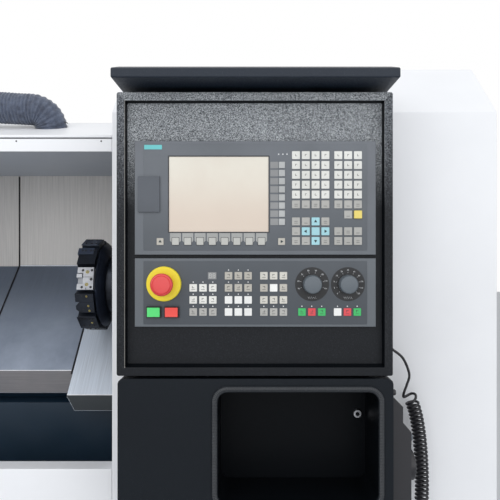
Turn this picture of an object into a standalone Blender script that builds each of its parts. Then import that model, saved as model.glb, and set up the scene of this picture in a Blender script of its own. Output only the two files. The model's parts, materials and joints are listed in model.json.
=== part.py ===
"""Slant-bed turning lathe: bed, headstock, carriage, turret, covers, sliding door and operator console.

Metres, +Z up. X runs along the spindle, the operator stands at -Y. The origin is the centre of the
machine's footprint, on the floor. Slanted parts are drawn in a frame on the spindle axis that is
turned by the bed's slope: x along the spindle, y up the slope, z away from the bed.
"""

import math

import bmesh
import bpy
from mathutils import Matrix, Vector
from mathutils.geometry import interpolate_bezier

# Clearances and sheet gauges
GAP = 0.0003
OVERRUN = 0.01
EMBED = 0.001
MERGE = 0.00001
CURVE_SHARE = 1 / 6
WALL = 0.004
SHEET = 0.002

# Overall machine
HALF_WIDTH = 1.15
HALF_DEPTH = 0.82
FRONT = -0.62
REAR = 0.45
BASE_TOP = 0.42
BASE_BOTTOM = 0.08
BASE_SETBACK = 0.005
OPENING_LEFT = -0.297
OPENING_RIGHT = 0.38

# Spindle axis and the slope of the bed
SPINDLE_Y = -0.49
SPINDLE_Z = 1.113
SLOPE = math.radians(45)
COVER_LEVEL = -0.158
BED_LEVEL = -0.235

# Levelling feet
FOOT_RADIUS = 0.045
FOOT_HEIGHT = 0.022
STUD_RADIUS = 0.014
FOOT_INSET = 0.12

# Chip tray and its bay in the base
TRAY_LEFT = -0.50
TRAY_RIGHT = 0.86
BAY_FLOOR = 0.14
BAY_REAR = -0.10
TRAY_TOP = 0.402
TRAY_SIDE_GAP = 0.003
TRAY_GRIP_LENGTH = 0.30
TRAY_GRIP_DEPTH = 0.012
TRAY_GRIP_HEIGHT = 0.02
TRAY_GRIP_DROP = 0.05

# Bed casting
BED_LEFT = -0.62
DRIVE_SPACE = 0.27
BED_RIGHT = HALF_WIDTH - DRIVE_SPACE
BED_FRONT = -0.395
LEDGE_MARGIN = 0.0038
BED_SKIRT = 0.62
BED_REAR = 0.35
BED_REAR_TOP = 1.05
BED_SLOPE_END = 0.33
BED_FOOT_BACK = 0.005
RIB_DEPTH = 0.05
RIB_WIDTH = 0.30
RIB_PITCH = 0.36
RIB_START_SHARE = 0.5

# Rails and the long screw
RAIL_WIDTH = 0.03
RAIL_HEIGHT = 0.03
RAIL_NECK_SHARE = 0.8
RAIL_WAIST_SHARES = (0.3, 0.5, 0.7)
RAIL_LOW = 0.04
RAIL_HIGH = 0.29
RAIL_LEFT = -0.29
RAIL_END = 0.01
RAIL_RIGHT = BED_RIGHT - RAIL_END
SCREW_RADIUS = 0.0125
SCREW_UP = 0.165
SCREW_LEVEL = -0.222
SCREW_LEFT = -0.25
TROUGH_WIDTH = 0.07
TROUGH_DEPTH = 0.027
END_BEARING = 0.03
Z_MOTOR_SIDE = 0.12
Z_MOTOR_LENGTH = 0.17
Z_MOTOR_BODY_SHARE = 0.75
Z_MOTOR_CAP_SHARE = 0.8

# Way covers
LEFT_COVER_END = 0.03
RIGHT_COVER_START = 0.60
COVER_END = 0.0123
RIGHT_COVER_END = BED_RIGHT - COVER_END
SLIDER_LEFT = -0.013
SLIDER_RIGHT = 0.27
SLIDER2_LEFT = 0.595
SLIDER_END = 0.035
SLIDER2_RIGHT = BED_RIGHT - SLIDER_END
WALL_FRONT = -0.128
APRON_FRONT = -0.376
APRON_BOTTOM = 0.948
CEILING = 1.513
WALL_BOTTOM = 1.245

# Carriage
SADDLE_LEFT = 0.34
SADDLE_RIGHT = 0.57
SADDLE_LOW = -0.03
SADDLE_HIGH = 0.335
SADDLE_TOP = -0.1403
SHOE_WIDTH = 0.064
SHOE_LEVEL = -0.228
NUT_LEFT = 0.41
NUT_RIGHT = 0.50
NUT_WIDTH = 0.05
NUT_LEVEL = -0.246
RAISE = 0.02
SHIELD_LEFT = 0.231
SHIELD_RIGHT = 0.70
SHIELD_LOW = -0.0753
SHIELD_HIGH = 0.365
SHIELD_SKIRT = 0.037
SHIELD_CORNER = 0.018

# Cross slide, its guide and its screw
GUIDE_X = 0.455
GUIDE_WIDTH = 0.08
GUIDE_NECK = 0.06
GUIDE_LOW = -0.02
GUIDE_HIGH = 0.25
GUIDE_TOP = -0.1223
CROSS_LENGTH = 0.16
CROSS_LEFT = 0.372
CROSS_RIGHT = 0.538
CROSS_TOP = -0.10
SLOT_MARGIN = 0.007
SLOT_LOW = -0.025
SLOT_HIGH = 0.262
X_SCREW_RADIUS = 0.008
X_SCREW_LEVEL = -0.19
X_SCREW_CHANNEL = 0.026
X_SCREW_FLOOR = 0.0105
X_NUT_LENGTH = 0.05
X_MOTOR_SIDE = 0.048
X_MOTOR_LENGTH = 0.09
BRACKET = 0.01
BRACKET_WIDTH = 0.11
BRACKET_LOW = -0.23
BRACKET_HIGH = -0.175

# Turret
TURRET_UP = 0.1414
TURRET_STATIONS = 12
TURRET_FACE_X = 0.3127
TURRET_FLANGE = 0.005
TURRET_FLANGE_RADIUS = 0.098
TURRET_LEFT = 0.2665
TURRET_FLAT = 0.088
TURRET_TILT = math.radians(11.4)
TURRET_HUB_RADIUS = 0.045
TURRET_HUB_PROUD = 0.006
TURRET_BODY_RADIUS = 0.068
TURRET_BODY_RIGHT = 0.53
TURRET_BASE_LEFT = 0.385
TURRET_BASE_WIDTH = 0.13
INDEX_MOTOR_RADIUS = 0.045
INDEX_MOTOR_LENGTH = 0.07
HOLDER_HEIGHT = 0.02
HOLDER_WIDTH = 0.0455
HOLDER_STEP = 0.008
HOLDER_REACH = 0.003
BORING_WIDTH = 0.05
BORING_HEIGHT = 0.02
BORING_SETBACK = 0.005
BORING_NOTCH = 0.013
BORING_NOTCH_WIDTH = 0.025
BORING_STUB_WIDTH = 0.011
BORING_STUB_REACH = 0.002
DRILL_SPLIT = 0.003
DRILL_CHAMFER = 0.012
DRILL_WAIST = 0.005

# Headstock, spindle, chuck
HEAD_LEFT = -0.62
HEAD_RIGHT = -0.3203
BARREL_RADIUS = 0.08
HEAD_FOOT_LOW = -0.02
HEAD_FOOT_HIGH = 0.32
HEAD_SHOULDER = 0.05
HEAD_SHOULDER_LOW = -0.05
HEAD_SHOULDER_HIGH = 0.06
HEAD_HEEL = -0.17
HEAD_CHIN = -0.08
SPINDLE_RADIUS = 0.045
SPINDLE_BORE = 0.02
SPINDLE_NOSE = 0.06
NOSE_LEFT = -0.315
CHUCK_BACK = -0.29
CHUCK_FACE = -0.205
CHUCK_RADIUS = 0.075
CHUCK_BORE = 0.022
CHUCK_EDGE = 0.005
JAWS = 3
JAW_SLOT = 0.022
JAW_SLOT_DEPTH = 0.022
JAW_INNER = 0.027
JAW_OUTER = 0.064
JAW_STEP = 0.046
JAW_BASE_OUTER = 0.066
JAW_WIDTH = 0.03
JAW_PROUD = 0.04
JAW_STEP_PROUD = 0.022
MOTOR_RADIUS = 0.079
MOTOR_LEFT = -0.86
SPINDLE_LEFT = -0.90
MOTOR_FIN_DEPTH = 0.008
MOTOR_FINS = 8
FIN_SHARE = 0.5

# Covers
PANEL_SILL = 0.86
PANEL_BOTTOM = 0.405
LEFT_FRONT = -0.578
CABINET_TOP = 1.574
ROOF_HIGH = 1.70
ROOF_LIP = 1.5235
ROOF_EDGE = 0.0045
ROOF_FRONT_TOP = ROOF_LIP + ROOF_EDGE
ROOF_RUN = 0.1985
ROOF_RISE = 0.0695
RIDGE_Y = FRONT + ROOF_RUN
RIDGE_TOP = ROOF_FRONT_TOP + ROOF_RISE
HEADER_BOTTOM = 1.495
HEADER_TOP = 1.5205
HEADER_PLATE = 0.003
HEADER_DEPTH = 0.0397
WINDOW_FRONT = -0.58
WINDOW_REAR = 0.41
NOSE_HOLE = 0.063

# Rear cover and its cabinet
REAR_HALF = 0.95
REAR_BACK = 0.80
REAR_BOTTOM = 0.30
REAR_TOP = 1.55
BAY_LEFT = 0.10
BAY_RIGHT = 0.90
BAY_LOW = 0.42
BAY_HIGH = 1.46
BAY_DEPTH = 0.30
DOOR_LAP = 0.02
CABINET_DOOR_THICK = 0.015
CABINET_LATCH = 0.0047
LATCH_WIDTH = 0.03
LATCH_HEIGHT = 0.12
REAR_CHAMFER = 0.03

# Sliding door
DOOR_LEFT = -1.002
DOOR_RIGHT = -0.302
DOOR_FRONT = -0.612
DOOR_BACK = -0.584
GLASS_LEFT = -0.88
GLASS_RIGHT = -0.45
GLASS_LOW = 1.04
GLASS_HIGH = 1.40
GLASS_RADIUS = 0.03
GLASS_THICK = 0.008
HANDLE_X = -0.36
HANDLE_LOW = 1.10
HANDLE_HIGH = 1.34
HANDLE_REACH = 0.045
HANDLE_RADIUS = 0.009
HANDLE_BEND_SHARE = 0.3

# Duct on the roof and the mist collector
DUCT_RADIUS = 0.034
DUCT_CLEARANCE = 0.0006
DUCT_X = 0.2160
DUCT_Y = -0.501
COLLECTOR_INSET = 0.20
COLLECTOR_WIDTH = 0.30
COLLECTOR_LEFT = COLLECTOR_INSET - HALF_WIDTH
COLLECTOR_RIGHT = COLLECTOR_LEFT + COLLECTOR_WIDTH
COLLECTOR_FRONT = -0.35
COLLECTOR_BACK = -0.05
COLLECTOR_HEIGHT = 0.2625
COLLECTOR_TOP = RIDGE_TOP + COLLECTOR_HEIGHT
COLLECTOR_EDGE = 0.02
INLET_Y = -0.20
INLET_RISE = 0.1025
INLET_Z = RIDGE_TOP + INLET_RISE
INLET_LENGTH = 0.03
DOME_RADIUS = 0.09
DOME_HEIGHT = 0.07
DOME_TOP_SHARE = 0.8

# Console housing
HOUSING_LEFT = 0.4254
HOUSING_RIGHT = 0.9030
HOUSING_BOTTOM = 1.0806
HOUSING_TOP = 1.5712
CONSOLE_REACH = 0.15
HOUSING_FRONT = FRONT - CONSOLE_REACH
FIELD_DEPTH = 0.015
RIM = 0.0144
RIM_FLARE = 0.0016
RIM_LEDGE = 0.0044
HOUSING_EDGE = 0.003
GLAND_SETBACK = 0.11
GLAND_Y = HOUSING_FRONT + GLAND_SETBACK
GLAND_Z = 1.110
GLAND_RADIUS = 0.006
GLAND_LENGTH = 0.014
GLAND_TIP_SHARE = 0.6

# Visor
VISOR_LEFT = 0.427
VISOR_BOTTOM = 1.5812
VISOR_OVERHANG = 0.05
VISOR_FRONT = HOUSING_FRONT - VISOR_OVERHANG
VISOR_LIP = 0.016
VISOR_BREAK = 0.05
VISOR_BREAK_RISE = 0.034
VISOR_BACK_RISE = 0.055

# Operator plates
PLATE_LEFT = 0.4552
PLATE_WIDTH = 0.42
PLATE_SETBACK = 0.007
PLATE_FRONT = HOUSING_FRONT + PLATE_SETBACK
UPPER_TOP = 1.4880
UPPER_HEIGHT = 0.198
LOWER_TOP = 1.2838
LOWER_HEIGHT = 0.1193
KEY_PROUD = 0.0016
KEY_SIZE = 0.0141
KEY_PITCH = 0.01705
KEY_ROW_PITCH = 0.01711
KEY_FIRST_X = 0.2807
KEY_BLOCK2_X = 0.3543
KEY_FIRST_DROP = 0.0249
LETTER_COLUMNS = 4
NUMBER_COLUMNS = 3
FULL_ROWS = 6
LETTER_ROW_SHARES = (0, 1, 2, 3, 4, 5, 6.73, 7.73, 8.71)
NUMBER_ROW_SHARES = (0, 1, 2, 3, 4, 5, 7.73, 8.71)
RESET_ROW_SHARE = 6.03
SCREEN_LEFT = 0.0595
SCREEN_WIDTH = 0.1738
SCREEN_DROP = 0.0269
SCREEN_HEIGHT = 0.1315
SCREEN_DEPTH = 0.004
SOFT_COUNT = 8
SOFT_WIDTH = 0.0104
SOFT_HEIGHT = 0.0113
SOFT_PITCH = 0.01412
SOFT_DROP = 0.0419
SOFT_X = 0.2563
MENU_WIDTH = 0.0117
MENU_HEIGHT = 0.0129
MENU_PITCH = 0.02137
MENU_DROP = 0.1746
MENU_X = 0.0712
RECALL_X = 0.0443
RECALL_RIGHT_X = 0.2558
RECALL_DROP = 0.1750
PORT_LEFT = 0.0061
PORT_WIDTH = 0.0379
PORT_DROP = 0.0616
PORT_HEIGHT = 0.0623
PORT_PROUD = 0.0035
PORT_MARGIN = 0.006
PORT_DEPTH = 0.003

# Lower plate
ESTOP_X = 0.0512
ESTOP_DROP = 0.0444
ESTOP_COLLAR = 0.0303
ESTOP_COLLAR_THICK = 0.0067
ESTOP_RADIUS = 0.0193
ESTOP_REACH = 0.033
ESTOP_FRONT = PLATE_FRONT - ESTOP_REACH
ESTOP_CAP = 0.018
ESTOP_STEM = 0.0122
ESTOP_UNDER_SHARE = 0.9
BUTTON_WIDTH = 0.0226
BUTTON_HEIGHT = 0.0167
BUTTON_DROP = 0.0932
START_X = 0.0338
STOP_X = 0.0648
BUTTON_PROUD = 0.0075
BUTTON_SEAT = 0.0033
BEZEL = 0.002
BEZEL_PROUD = 0.003
PANEL_KEY = 0.0136
PANEL_PITCH = 0.0170
PANEL_ROW_PITCH = 0.0210
PANEL_DROP = 0.0303
PANEL_ROWS = 4
PANEL_GROUP_X = (0.1021, 0.1635, 0.2249)
PANEL_GROUP_SKIPS = (1, 0, 0)
COLOUR_KEY_X = (0.2911, 0.3082, 0.3255, 0.3531, 0.3702, 0.3872)
DISPLAY_X = 0.1350
DISPLAY_WIDTH = 0.0148
DISPLAY_HEIGHT = 0.0122
FEED_X = 0.3088
SPEED_X = 0.3712
DIAL_DROP = 0.0450
DIAL_KNOB_RADIUS = 0.0167
DIAL_KNOB_HEIGHT = 0.0165
DIAL_KNOB_EDGE = 0.003

# Lower console
CONSOLE_LEFT = 0.4270
CONSOLE_RIGHT = 0.9040
CONSOLE_TOP = 1.0755
CONSOLE_BOTTOM = 0.78
CONSOLE_CORNER = 0.009
POCKET_LEFT = 0.600
POCKET_RIGHT = 0.878
POCKET_TOP = 1.053
POCKET_BOTTOM = 0.86
POCKET_DEPTH = 0.11
POCKET_CORNER = 0.017
POCKET_RIM = 0.0108
POCKET_RIM_PROUD = 0.003
SOCKET_X = 0.862
SOCKET_Z = 0.984
SOCKET_RADIUS = 0.0075
SOCKET_LENGTH = 0.006
HOOK_PLATE = 0.0024
HOOK_BOTTOM = 0.90
HOOK_TOP = 1.048
NUB_RADIUS = 0.004
NUB_LENGTH = 0.01
NUB_Z = 1.0455

# Handset
HANDSET_SETBACK = 0.025
HANDSET_WIDTH = 0.07
HANDSET_FRONT = HOUSING_FRONT + HANDSET_SETBACK
HANDSET_BACK = HANDSET_FRONT + HANDSET_WIDTH
HANDSET_BOTTOM = 0.85
HANDSET_TOP = 1.0346
HANDSET_CREST = 0.0065
HANDSET_THIN = 0.0208
HANDSET_THICK = 0.0355
HANDSET_SHOULDER = 1.0197
HANDSET_WAIST = 0.992
HANDSET_HIP = 0.975
WHEEL_RADIUS = 0.027
WHEEL_THICK = 0.012
WHEEL_Z = 0.905
WHEEL_RIM = 0.003
DIMPLE_RADIUS = 0.005
DIMPLE_DEPTH = 0.003
SELECTOR_RADIUS = 0.008
SELECTOR_HEIGHT = 0.011
SELECTOR_TIP_SHARE = 0.8
SELECTOR_Z = 0.955
RELIEF_RADIUS = 0.008
RELIEF_LENGTH = 0.0076
RELIEF_TIP_SHARE = 0.7

# Curly lead: thin stretch and the coil's outer shape
LEAD_RADIUS = 0.0025
COIL_RADIUS = 0.0135
LEAD_ROUTE = (
    (0.9176, -0.66, 1.1100),
    (0.9262, -0.66, 1.1094),
    (0.9345, -0.66, 1.1036),
    (0.9489, -0.66, 1.0919),
    (0.9582, -0.66, 1.0749),
    (0.9632, -0.66, 1.0560),
    (0.9592, -0.66, 1.0410),
    (0.9538, -0.66, 1.0264),
    (0.9532, -0.66, 1.0125),
)
COIL_ROUTE = (
    (0.9658, -0.66, 1.0120),
    (0.9759, -0.66, 0.9792),
    (0.9830, -0.661, 0.9300),
    (0.9860, -0.663, 0.8700),
    (0.9840, -0.667, 0.8150),
    (0.9750, -0.674, 0.7700),
    (0.9560, -0.687, 0.7480),
    (0.9370, -0.699, 0.7620),
    (0.9280, -0.7075, 0.7950),
    (0.9250, -0.71, 0.8420),
)
DUCT_ROUTE = (
    (0.2160, -0.4907, 1.5409),
    (0.2160, -0.5010, 1.5702),
    (0.2132, -0.5057, 1.5836),
    (0.2053, -0.5097, 1.5950),
    (0.1935, -0.5124, 1.6027),
    (0.1790, -0.5135, 1.6057),
    (0.1500, -0.5140, 1.6070),
    (0.1015, -0.5140, 1.6100),
    (0.0300, -0.5130, 1.6140),
    (-0.0500, -0.5080, 1.6180),
    (-0.1500, -0.4960, 1.6230),
    (-0.2500, -0.4640, 1.6340),
    (-0.3300, -0.4180, 1.6480),
    (-0.4000, -0.3550, 1.6620),
    (-0.4600, -0.2900, 1.6780),
    (-0.5200, -0.2300, 1.6930),
    (-0.5600, -0.2040, 1.6990),
    (-0.5900, -0.2000, 1.7000),
    (-0.6197, -0.2000, 1.7000),
)

COLOURS = {
    "white_paint": ((0.82, 0.84, 0.88), 0.45, 0.0),
    "bed_paint": ((0.02, 0.06, 0.10), 0.5, 0.0),
    "base_paint": ((0.05, 0.07, 0.09), 0.5, 0.0),
    "stainless": ((0.42, 0.44, 0.46), 0.35, 1.0),
    "dark_steel": ((0.03, 0.035, 0.045), 0.4, 0.8),
    "bright_steel": ((0.55, 0.55, 0.56), 0.25, 1.0),
    "hammertone": ((0.02, 0.022, 0.026), 0.35, 0.0),
    "plate_grey": ((0.09, 0.10, 0.12), 0.5, 0.0),
    "screen": ((0.75, 0.68, 0.58), 0.15, 0.0),
    "red_plastic": ((0.75, 0.05, 0.06), 0.35, 0.0),
    "green_plastic": ((0.08, 0.60, 0.20), 0.35, 0.0),
    "yellow_plastic": ((0.85, 0.70, 0.05), 0.4, 0.0),
    "knob_grey": ((0.11, 0.13, 0.15), 0.5, 0.0),
    "black_plastic": ((0.015, 0.015, 0.018), 0.5, 0.0),
    "black_rubber": ((0.012, 0.013, 0.016), 0.7, 0.0),
    "duct_fabric": ((0.06, 0.08, 0.11), 0.8, 0.0),
    "window_glass": ((0.55, 0.62, 0.65), 0.05, 0.0),
    "motor_black": ((0.02, 0.02, 0.022), 0.4, 0.3),
}

TURN = {
    "X": Matrix(((0, 0, 1), (1, 0, 0), (0, 1, 0))),
    "Y": Matrix(((1, 0, 0), (0, 0, -1), (0, 1, 0))),
    "Z": Matrix.Identity(3),
}


def clear_scene():
    for item in list(bpy.data.objects):
        bpy.data.objects.remove(item)


def make_collections():
    found = []
    for name in ("turning_lathe", "cutters"):
        group = bpy.data.collections.new(name)
        bpy.context.scene.collection.children.link(group)
        found.append(group)
    found[1].hide_render = True
    return found


def make_finish(name):
    colour, roughness, metallic = COLOURS[name]
    finish = bpy.data.materials.get(name) or bpy.data.materials.new(name)
    finish.use_nodes = True
    shader = finish.node_tree.nodes["Principled BSDF"]
    shader.inputs["Base Color"].default_value = (*colour, 1)
    shader.inputs["Roughness"].default_value = roughness
    shader.inputs["Metallic"].default_value = metallic
    return finish


def make_frame(name, origin, slope=0):
    """An empty that carries slanted or moving pieces."""
    frame = bpy.data.objects.new(name, None)
    frame.location = origin
    frame.rotation_euler = (slope, 0, 0)
    PARTS.objects.link(frame)
    return frame


def link_piece(name, bm, finish, frame=None, tool=False):
    """Writes the shape as an object: a named part, or a hidden tool for a Boolean."""
    bmesh.ops.recalc_face_normals(bm, faces=bm.faces)
    mesh = bpy.data.meshes.new(name)
    bm.to_mesh(mesh)
    bm.free()
    piece = bpy.data.objects.new(name, mesh)
    (CUTTERS if tool else PARTS).objects.link(piece)
    if frame is not None:
        piece.parent = frame
    if tool:
        piece.hide_render = True
        piece.display_type = "WIRE"
    else:
        mesh.materials.append(make_finish(finish))
    return piece


def add_box(bm, low, high):
    """Adds a box between two corners."""
    low, high = Vector(low), Vector(high)
    place = Matrix.Translation((low + high) / 2) @ Matrix.Diagonal((*(high - low), 1))
    return bmesh.ops.create_cube(bm, size=1, matrix=place)["verts"]


def add_drum(bm, start, end, radius, sides, end_radius=None):
    """Adds a cylinder or cone between two points."""
    start, end = Vector(start), Vector(end)
    turn = (end - start).to_track_quat("Z", "Y").to_matrix().to_4x4()
    bmesh.ops.create_cone(
        bm,
        cap_ends=True,
        cap_tris=False,
        segments=sides,
        radius1=radius,
        radius2=radius if end_radius is None else end_radius,
        depth=(end - start).length,
        matrix=Matrix.Translation((start + end) / 2) @ turn,
    )


def add_sheet(bm, outline, low, high, axis="X", holes=()):
    """Adds a flat outline, drawn as a filled curve, extruded along an axis from low to high."""
    curve = bpy.data.curves.new("outline", "CURVE")
    curve.dimensions = "2D"
    curve.fill_mode = "BOTH"
    curve.extrude = (high - low) / 2
    for loop in (outline, *holes):
        spline = curve.splines.new("POLY")
        spline.points.add(len(loop) - 1)
        spline.use_cyclic_u = True
        for point, (a, b) in zip(spline.points, loop):
            point.co = (a, b, 0, 1)
    guide = bpy.data.objects.new("outline", curve)
    bpy.context.scene.collection.objects.link(guide)
    bpy.context.view_layer.update()
    graph = bpy.context.evaluated_depsgraph_get()
    mesh = bpy.data.meshes.new_from_object(guide.evaluated_get(graph))
    bpy.data.objects.remove(guide)
    middle = (low + high) / 2 * (-1 if axis == "Y" else 1)
    mesh.transform(TURN[axis].to_4x4() @ Matrix.Translation((0, 0, middle)))
    part = bmesh.new()
    part.from_mesh(mesh)
    bmesh.ops.remove_doubles(part, verts=part.verts, dist=MERGE)
    part.to_mesh(mesh)
    part.free()
    bm.from_mesh(mesh)
    bpy.data.meshes.remove(mesh)


def box_piece(name, low, high, finish, frame=None, tool=False):
    bm = bmesh.new()
    add_box(bm, low, high)
    return link_piece(name, bm, finish, frame, tool)


def drum_piece(name, start, end, radius, sides, finish, frame=None, tool=False):
    bm = bmesh.new()
    add_drum(bm, start, end, radius, sides)
    return link_piece(name, bm, finish, frame, tool)


def sheet_piece(name, outline, low, high, finish, axis="X", holes=(), frame=None, tool=False):
    bm = bmesh.new()
    add_sheet(bm, outline, low, high, axis, holes)
    return link_piece(name, bm, finish, frame, tool)


def turned_piece(name, profile, centre, sides, finish, axis="X", frame=None):
    """A profile of (radius, along) points, top to bottom, swept round its axis by a Screw."""
    bm = bmesh.new()
    points = [bm.verts.new((radius, 0, along)) for radius, along in profile]
    for start, end in zip(points, points[1:]):
        bm.edges.new((start, end))
    mesh = bpy.data.meshes.new(name)
    bm.to_mesh(mesh)
    bm.free()
    piece = bpy.data.objects.new(name, mesh)
    PARTS.objects.link(piece)
    piece.location = centre
    quarter = math.pi / 2
    piece.rotation_euler = {"X": (0, quarter, 0), "Y": (quarter, 0, 0), "Z": (0, 0, 0)}[axis]
    if frame is not None:
        piece.parent = frame
    screw = piece.modifiers.new("turn", "SCREW")
    screw.axis = "Z"
    screw.steps = screw.render_steps = sides
    screw.use_merge_vertices = True
    screw.merge_threshold = MERGE
    mesh.materials.append(make_finish(finish))
    return piece


def curve_piece(name, route, radius, finish, resolution=2):
    """A tube along the points of a route, with filled ends."""
    curve = bpy.data.curves.new(name, "CURVE")
    curve.dimensions = "3D"
    curve.bevel_depth = radius
    curve.bevel_resolution = resolution
    curve.use_fill_caps = True
    spline = curve.splines.new("POLY")
    spline.points.add(len(route) - 1)
    for point, place in zip(spline.points, route):
        point.co = (*place, 1)
    piece = bpy.data.objects.new(name, curve)
    curve.materials.append(make_finish(finish))
    PARTS.objects.link(piece)
    return piece


def combine(piece, tool, operation):
    change = piece.modifiers.new(tool.name, "BOOLEAN")
    change.operation = operation
    change.object = tool
    change.solver = "EXACT"
    change.use_self = operation == "UNION"


def cut(piece, tool):
    combine(piece, tool, "DIFFERENCE")


def join(piece, tool):
    combine(piece, tool, "UNION")


def soften(piece, width):
    edge = piece.modifiers.new("edge", "BEVEL")
    edge.width = width
    edge.segments = 1
    edge.limit_method = "ANGLE"


def pivot(piece, point, frame=None):
    """Puts a piece's origin on its joint's axis, with its shape where it was."""
    point = Vector(point)
    piece.data.transform(Matrix.Translation(-point))
    piece.location = point
    return piece


def arc(centre, radius, start, end, steps):
    """Points round an arc, in degrees."""
    found = []
    for step in range(steps + 1):
        angle = math.radians(start + (end - start) * step / steps)
        found.append((centre[0] + radius * math.cos(angle), centre[1] + radius * math.sin(angle)))
    return found


def rounded(left, right, bottom, top, radius, steps=4):
    """A rectangle with round corners."""
    inner = ((right - radius, top - radius), (left + radius, top - radius))
    inner += ((left + radius, bottom + radius), (right - radius, bottom + radius))
    found = []
    for turn, centre in enumerate(inner):
        found += arc(centre, radius, 90 * turn, 90 * turn + 90, steps)
    return found


def smooth_route(route, step):
    """Points about a step apart on a smooth curve through the route's own points."""
    places = [Vector(place) for place in route]
    ends = [places[0] * 2 - places[1]] + places + [places[-1] * 2 - places[-2]]
    found = []
    for before, start, end, after in zip(ends, ends[1:], ends[2:], ends[3:]):
        count = max(1, round((end - start).length / step))
        leave, arrive = (end - before) * CURVE_SHARE, (after - start) * CURVE_SHARE
        found += interpolate_bezier(start, start + leave, end - arrive, end, count + 1)[:-1]
    found.append(places[-1])
    return found


def bed_place(up, level):
    """(Y, Z) of a point that is that far up the slope and that far from the bed's spindle plane."""
    cosine, sine = math.cos(SLOPE), math.sin(SLOPE)
    return SPINDLE_Y + up * cosine - level * sine, SPINDLE_Z + up * sine + level * cosine


def on_slope(y, level):
    """(Y, Z) of the point at a given Y on a plane parallel to the bed."""
    up = (y - SPINDLE_Y + level * math.sin(SLOPE)) / math.cos(SLOPE)
    return bed_place(up, level)


def make_base():
    bm = bmesh.new()
    add_box(bm, (-HALF_WIDTH, FRONT + BASE_SETBACK, BASE_BOTTOM), (HALF_WIDTH, REAR, BASE_TOP))
    base = link_piece("machine_base", bm, "base_paint")
    bay = box_piece(
        "bay_cutter",
        (TRAY_LEFT, FRONT - OVERRUN, BAY_FLOOR),
        (TRAY_RIGHT, BAY_REAR, BASE_TOP + OVERRUN),
        None,
        tool=True,
    )
    cut(base, bay)
    feet = bmesh.new()
    for x in (-HALF_WIDTH + FOOT_INSET, 0, HALF_WIDTH - FOOT_INSET):
        for y in (FRONT + FOOT_INSET, REAR - FOOT_INSET):
            profile_end = BASE_BOTTOM + EMBED
            add_drum(feet, (x, y, 0), (x, y, FOOT_HEIGHT), FOOT_RADIUS, 16)
            add_drum(feet, (x, y, FOOT_HEIGHT - EMBED), (x, y, profile_end), STUD_RADIUS, 10)
    join(base, link_piece("feet_tool", feet, None, tool=True))
    return base


def make_chip_tray():
    left, right = TRAY_LEFT + TRAY_SIDE_GAP, TRAY_RIGHT - TRAY_SIDE_GAP
    low = BAY_FLOOR + GAP
    back = BAY_REAR - TRAY_SIDE_GAP
    tray = box_piece("chip_tray", (left, FRONT, low), (right, back, TRAY_TOP), "base_paint")
    inside = box_piece(
        "tray_cutter",
        (left + WALL, FRONT + WALL, low + WALL),
        (right - WALL, back - WALL, TRAY_TOP + OVERRUN),
        None,
        tool=True,
    )
    cut(tray, inside)
    middle = (left + right) / 2
    grip_z = TRAY_TOP - TRAY_GRIP_DROP
    grip = box_piece(
        "tray_grip_tool",
        (middle - TRAY_GRIP_LENGTH / 2, FRONT - TRAY_GRIP_DEPTH, grip_z - TRAY_GRIP_HEIGHT),
        (middle + TRAY_GRIP_LENGTH / 2, FRONT + EMBED, grip_z),
        None,
        tool=True,
    )
    join(tray, grip)
    return tray


def make_bed(slope):
    ledge = bed_place(HEAD_FOOT_LOW - LEDGE_MARGIN, BED_LEVEL)[1]
    outline = [
        (BAY_REAR + BED_FOOT_BACK, BASE_TOP + GAP),
        (BED_REAR, BASE_TOP + GAP),
        (BED_REAR, BED_REAR_TOP),
        (bed_place(BED_SLOPE_END, BED_LEVEL)[0], BED_REAR_TOP),
        bed_place(BED_SLOPE_END, BED_LEVEL),
        bed_place(HEAD_FOOT_LOW - LEDGE_MARGIN, BED_LEVEL),
        (BED_FRONT, ledge),
        (BED_FRONT, BED_SKIRT),
    ]
    bed = sheet_piece("slant_bed", outline, BED_LEFT, BED_RIGHT, "bed_paint")
    trough = box_piece(
        "trough_cutter",
        (RAIL_LEFT, SCREW_UP - TROUGH_WIDTH / 2, BED_LEVEL - TROUGH_DEPTH),
        (BED_RIGHT + OVERRUN, SCREW_UP + TROUGH_WIDTH / 2, BED_LEVEL + OVERRUN),
        None,
        slope,
        tool=True,
    )
    cut(bed, trough)
    pockets = bmesh.new()
    count = int((BED_RIGHT - BED_LEFT) / RIB_PITCH)
    for k in range(count):
        x = BED_LEFT + RIB_PITCH * (k + RIB_START_SHARE)
        add_box(
            pockets,
            (x - RIB_WIDTH / 2, BED_REAR - RIB_DEPTH, BASE_TOP + RIB_DEPTH),
            (x + RIB_WIDTH / 2, BED_REAR + OVERRUN, BED_REAR_TOP - RIB_DEPTH),
        )
    cut(bed, link_piece("rib_cutter", pockets, None, tool=True))
    bearing = bmesh.new()
    add_box(
        bearing,
        (RAIL_LEFT - EMBED, SCREW_UP - TROUGH_WIDTH / 2 - EMBED, BED_LEVEL - TROUGH_DEPTH - EMBED),
        (RAIL_LEFT + END_BEARING, SCREW_UP + TROUGH_WIDTH / 2 + EMBED, SCREW_LEVEL + SCREW_RADIUS),
    )
    join(bed, link_piece("bearing_tool", bearing, None, slope, tool=True))
    return bed


def make_rails(slope):
    for name, up in (("lower_rail", RAIL_LOW), ("upper_rail", RAIL_HIGH)):
        low = BED_LEVEL + GAP
        half = RAIL_WIDTH / 2
        neck = half * RAIL_NECK_SHARE
        waist_low, waist, waist_high = (low + RAIL_HEIGHT * share for share in RAIL_WAIST_SHARES)
        outline = [
            (up - half, low),
            (up + half, low),
            (up + half, waist_low),
            (up + neck, waist),
            (up + half, waist_high),
            (up + half, low + RAIL_HEIGHT),
            (up - half, low + RAIL_HEIGHT),
            (up - half, waist_high),
            (up - neck, waist),
            (up - half, waist_low),
        ]
        sheet_piece(name, outline, RAIL_LEFT, RAIL_RIGHT, "bright_steel", frame=slope)


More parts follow.
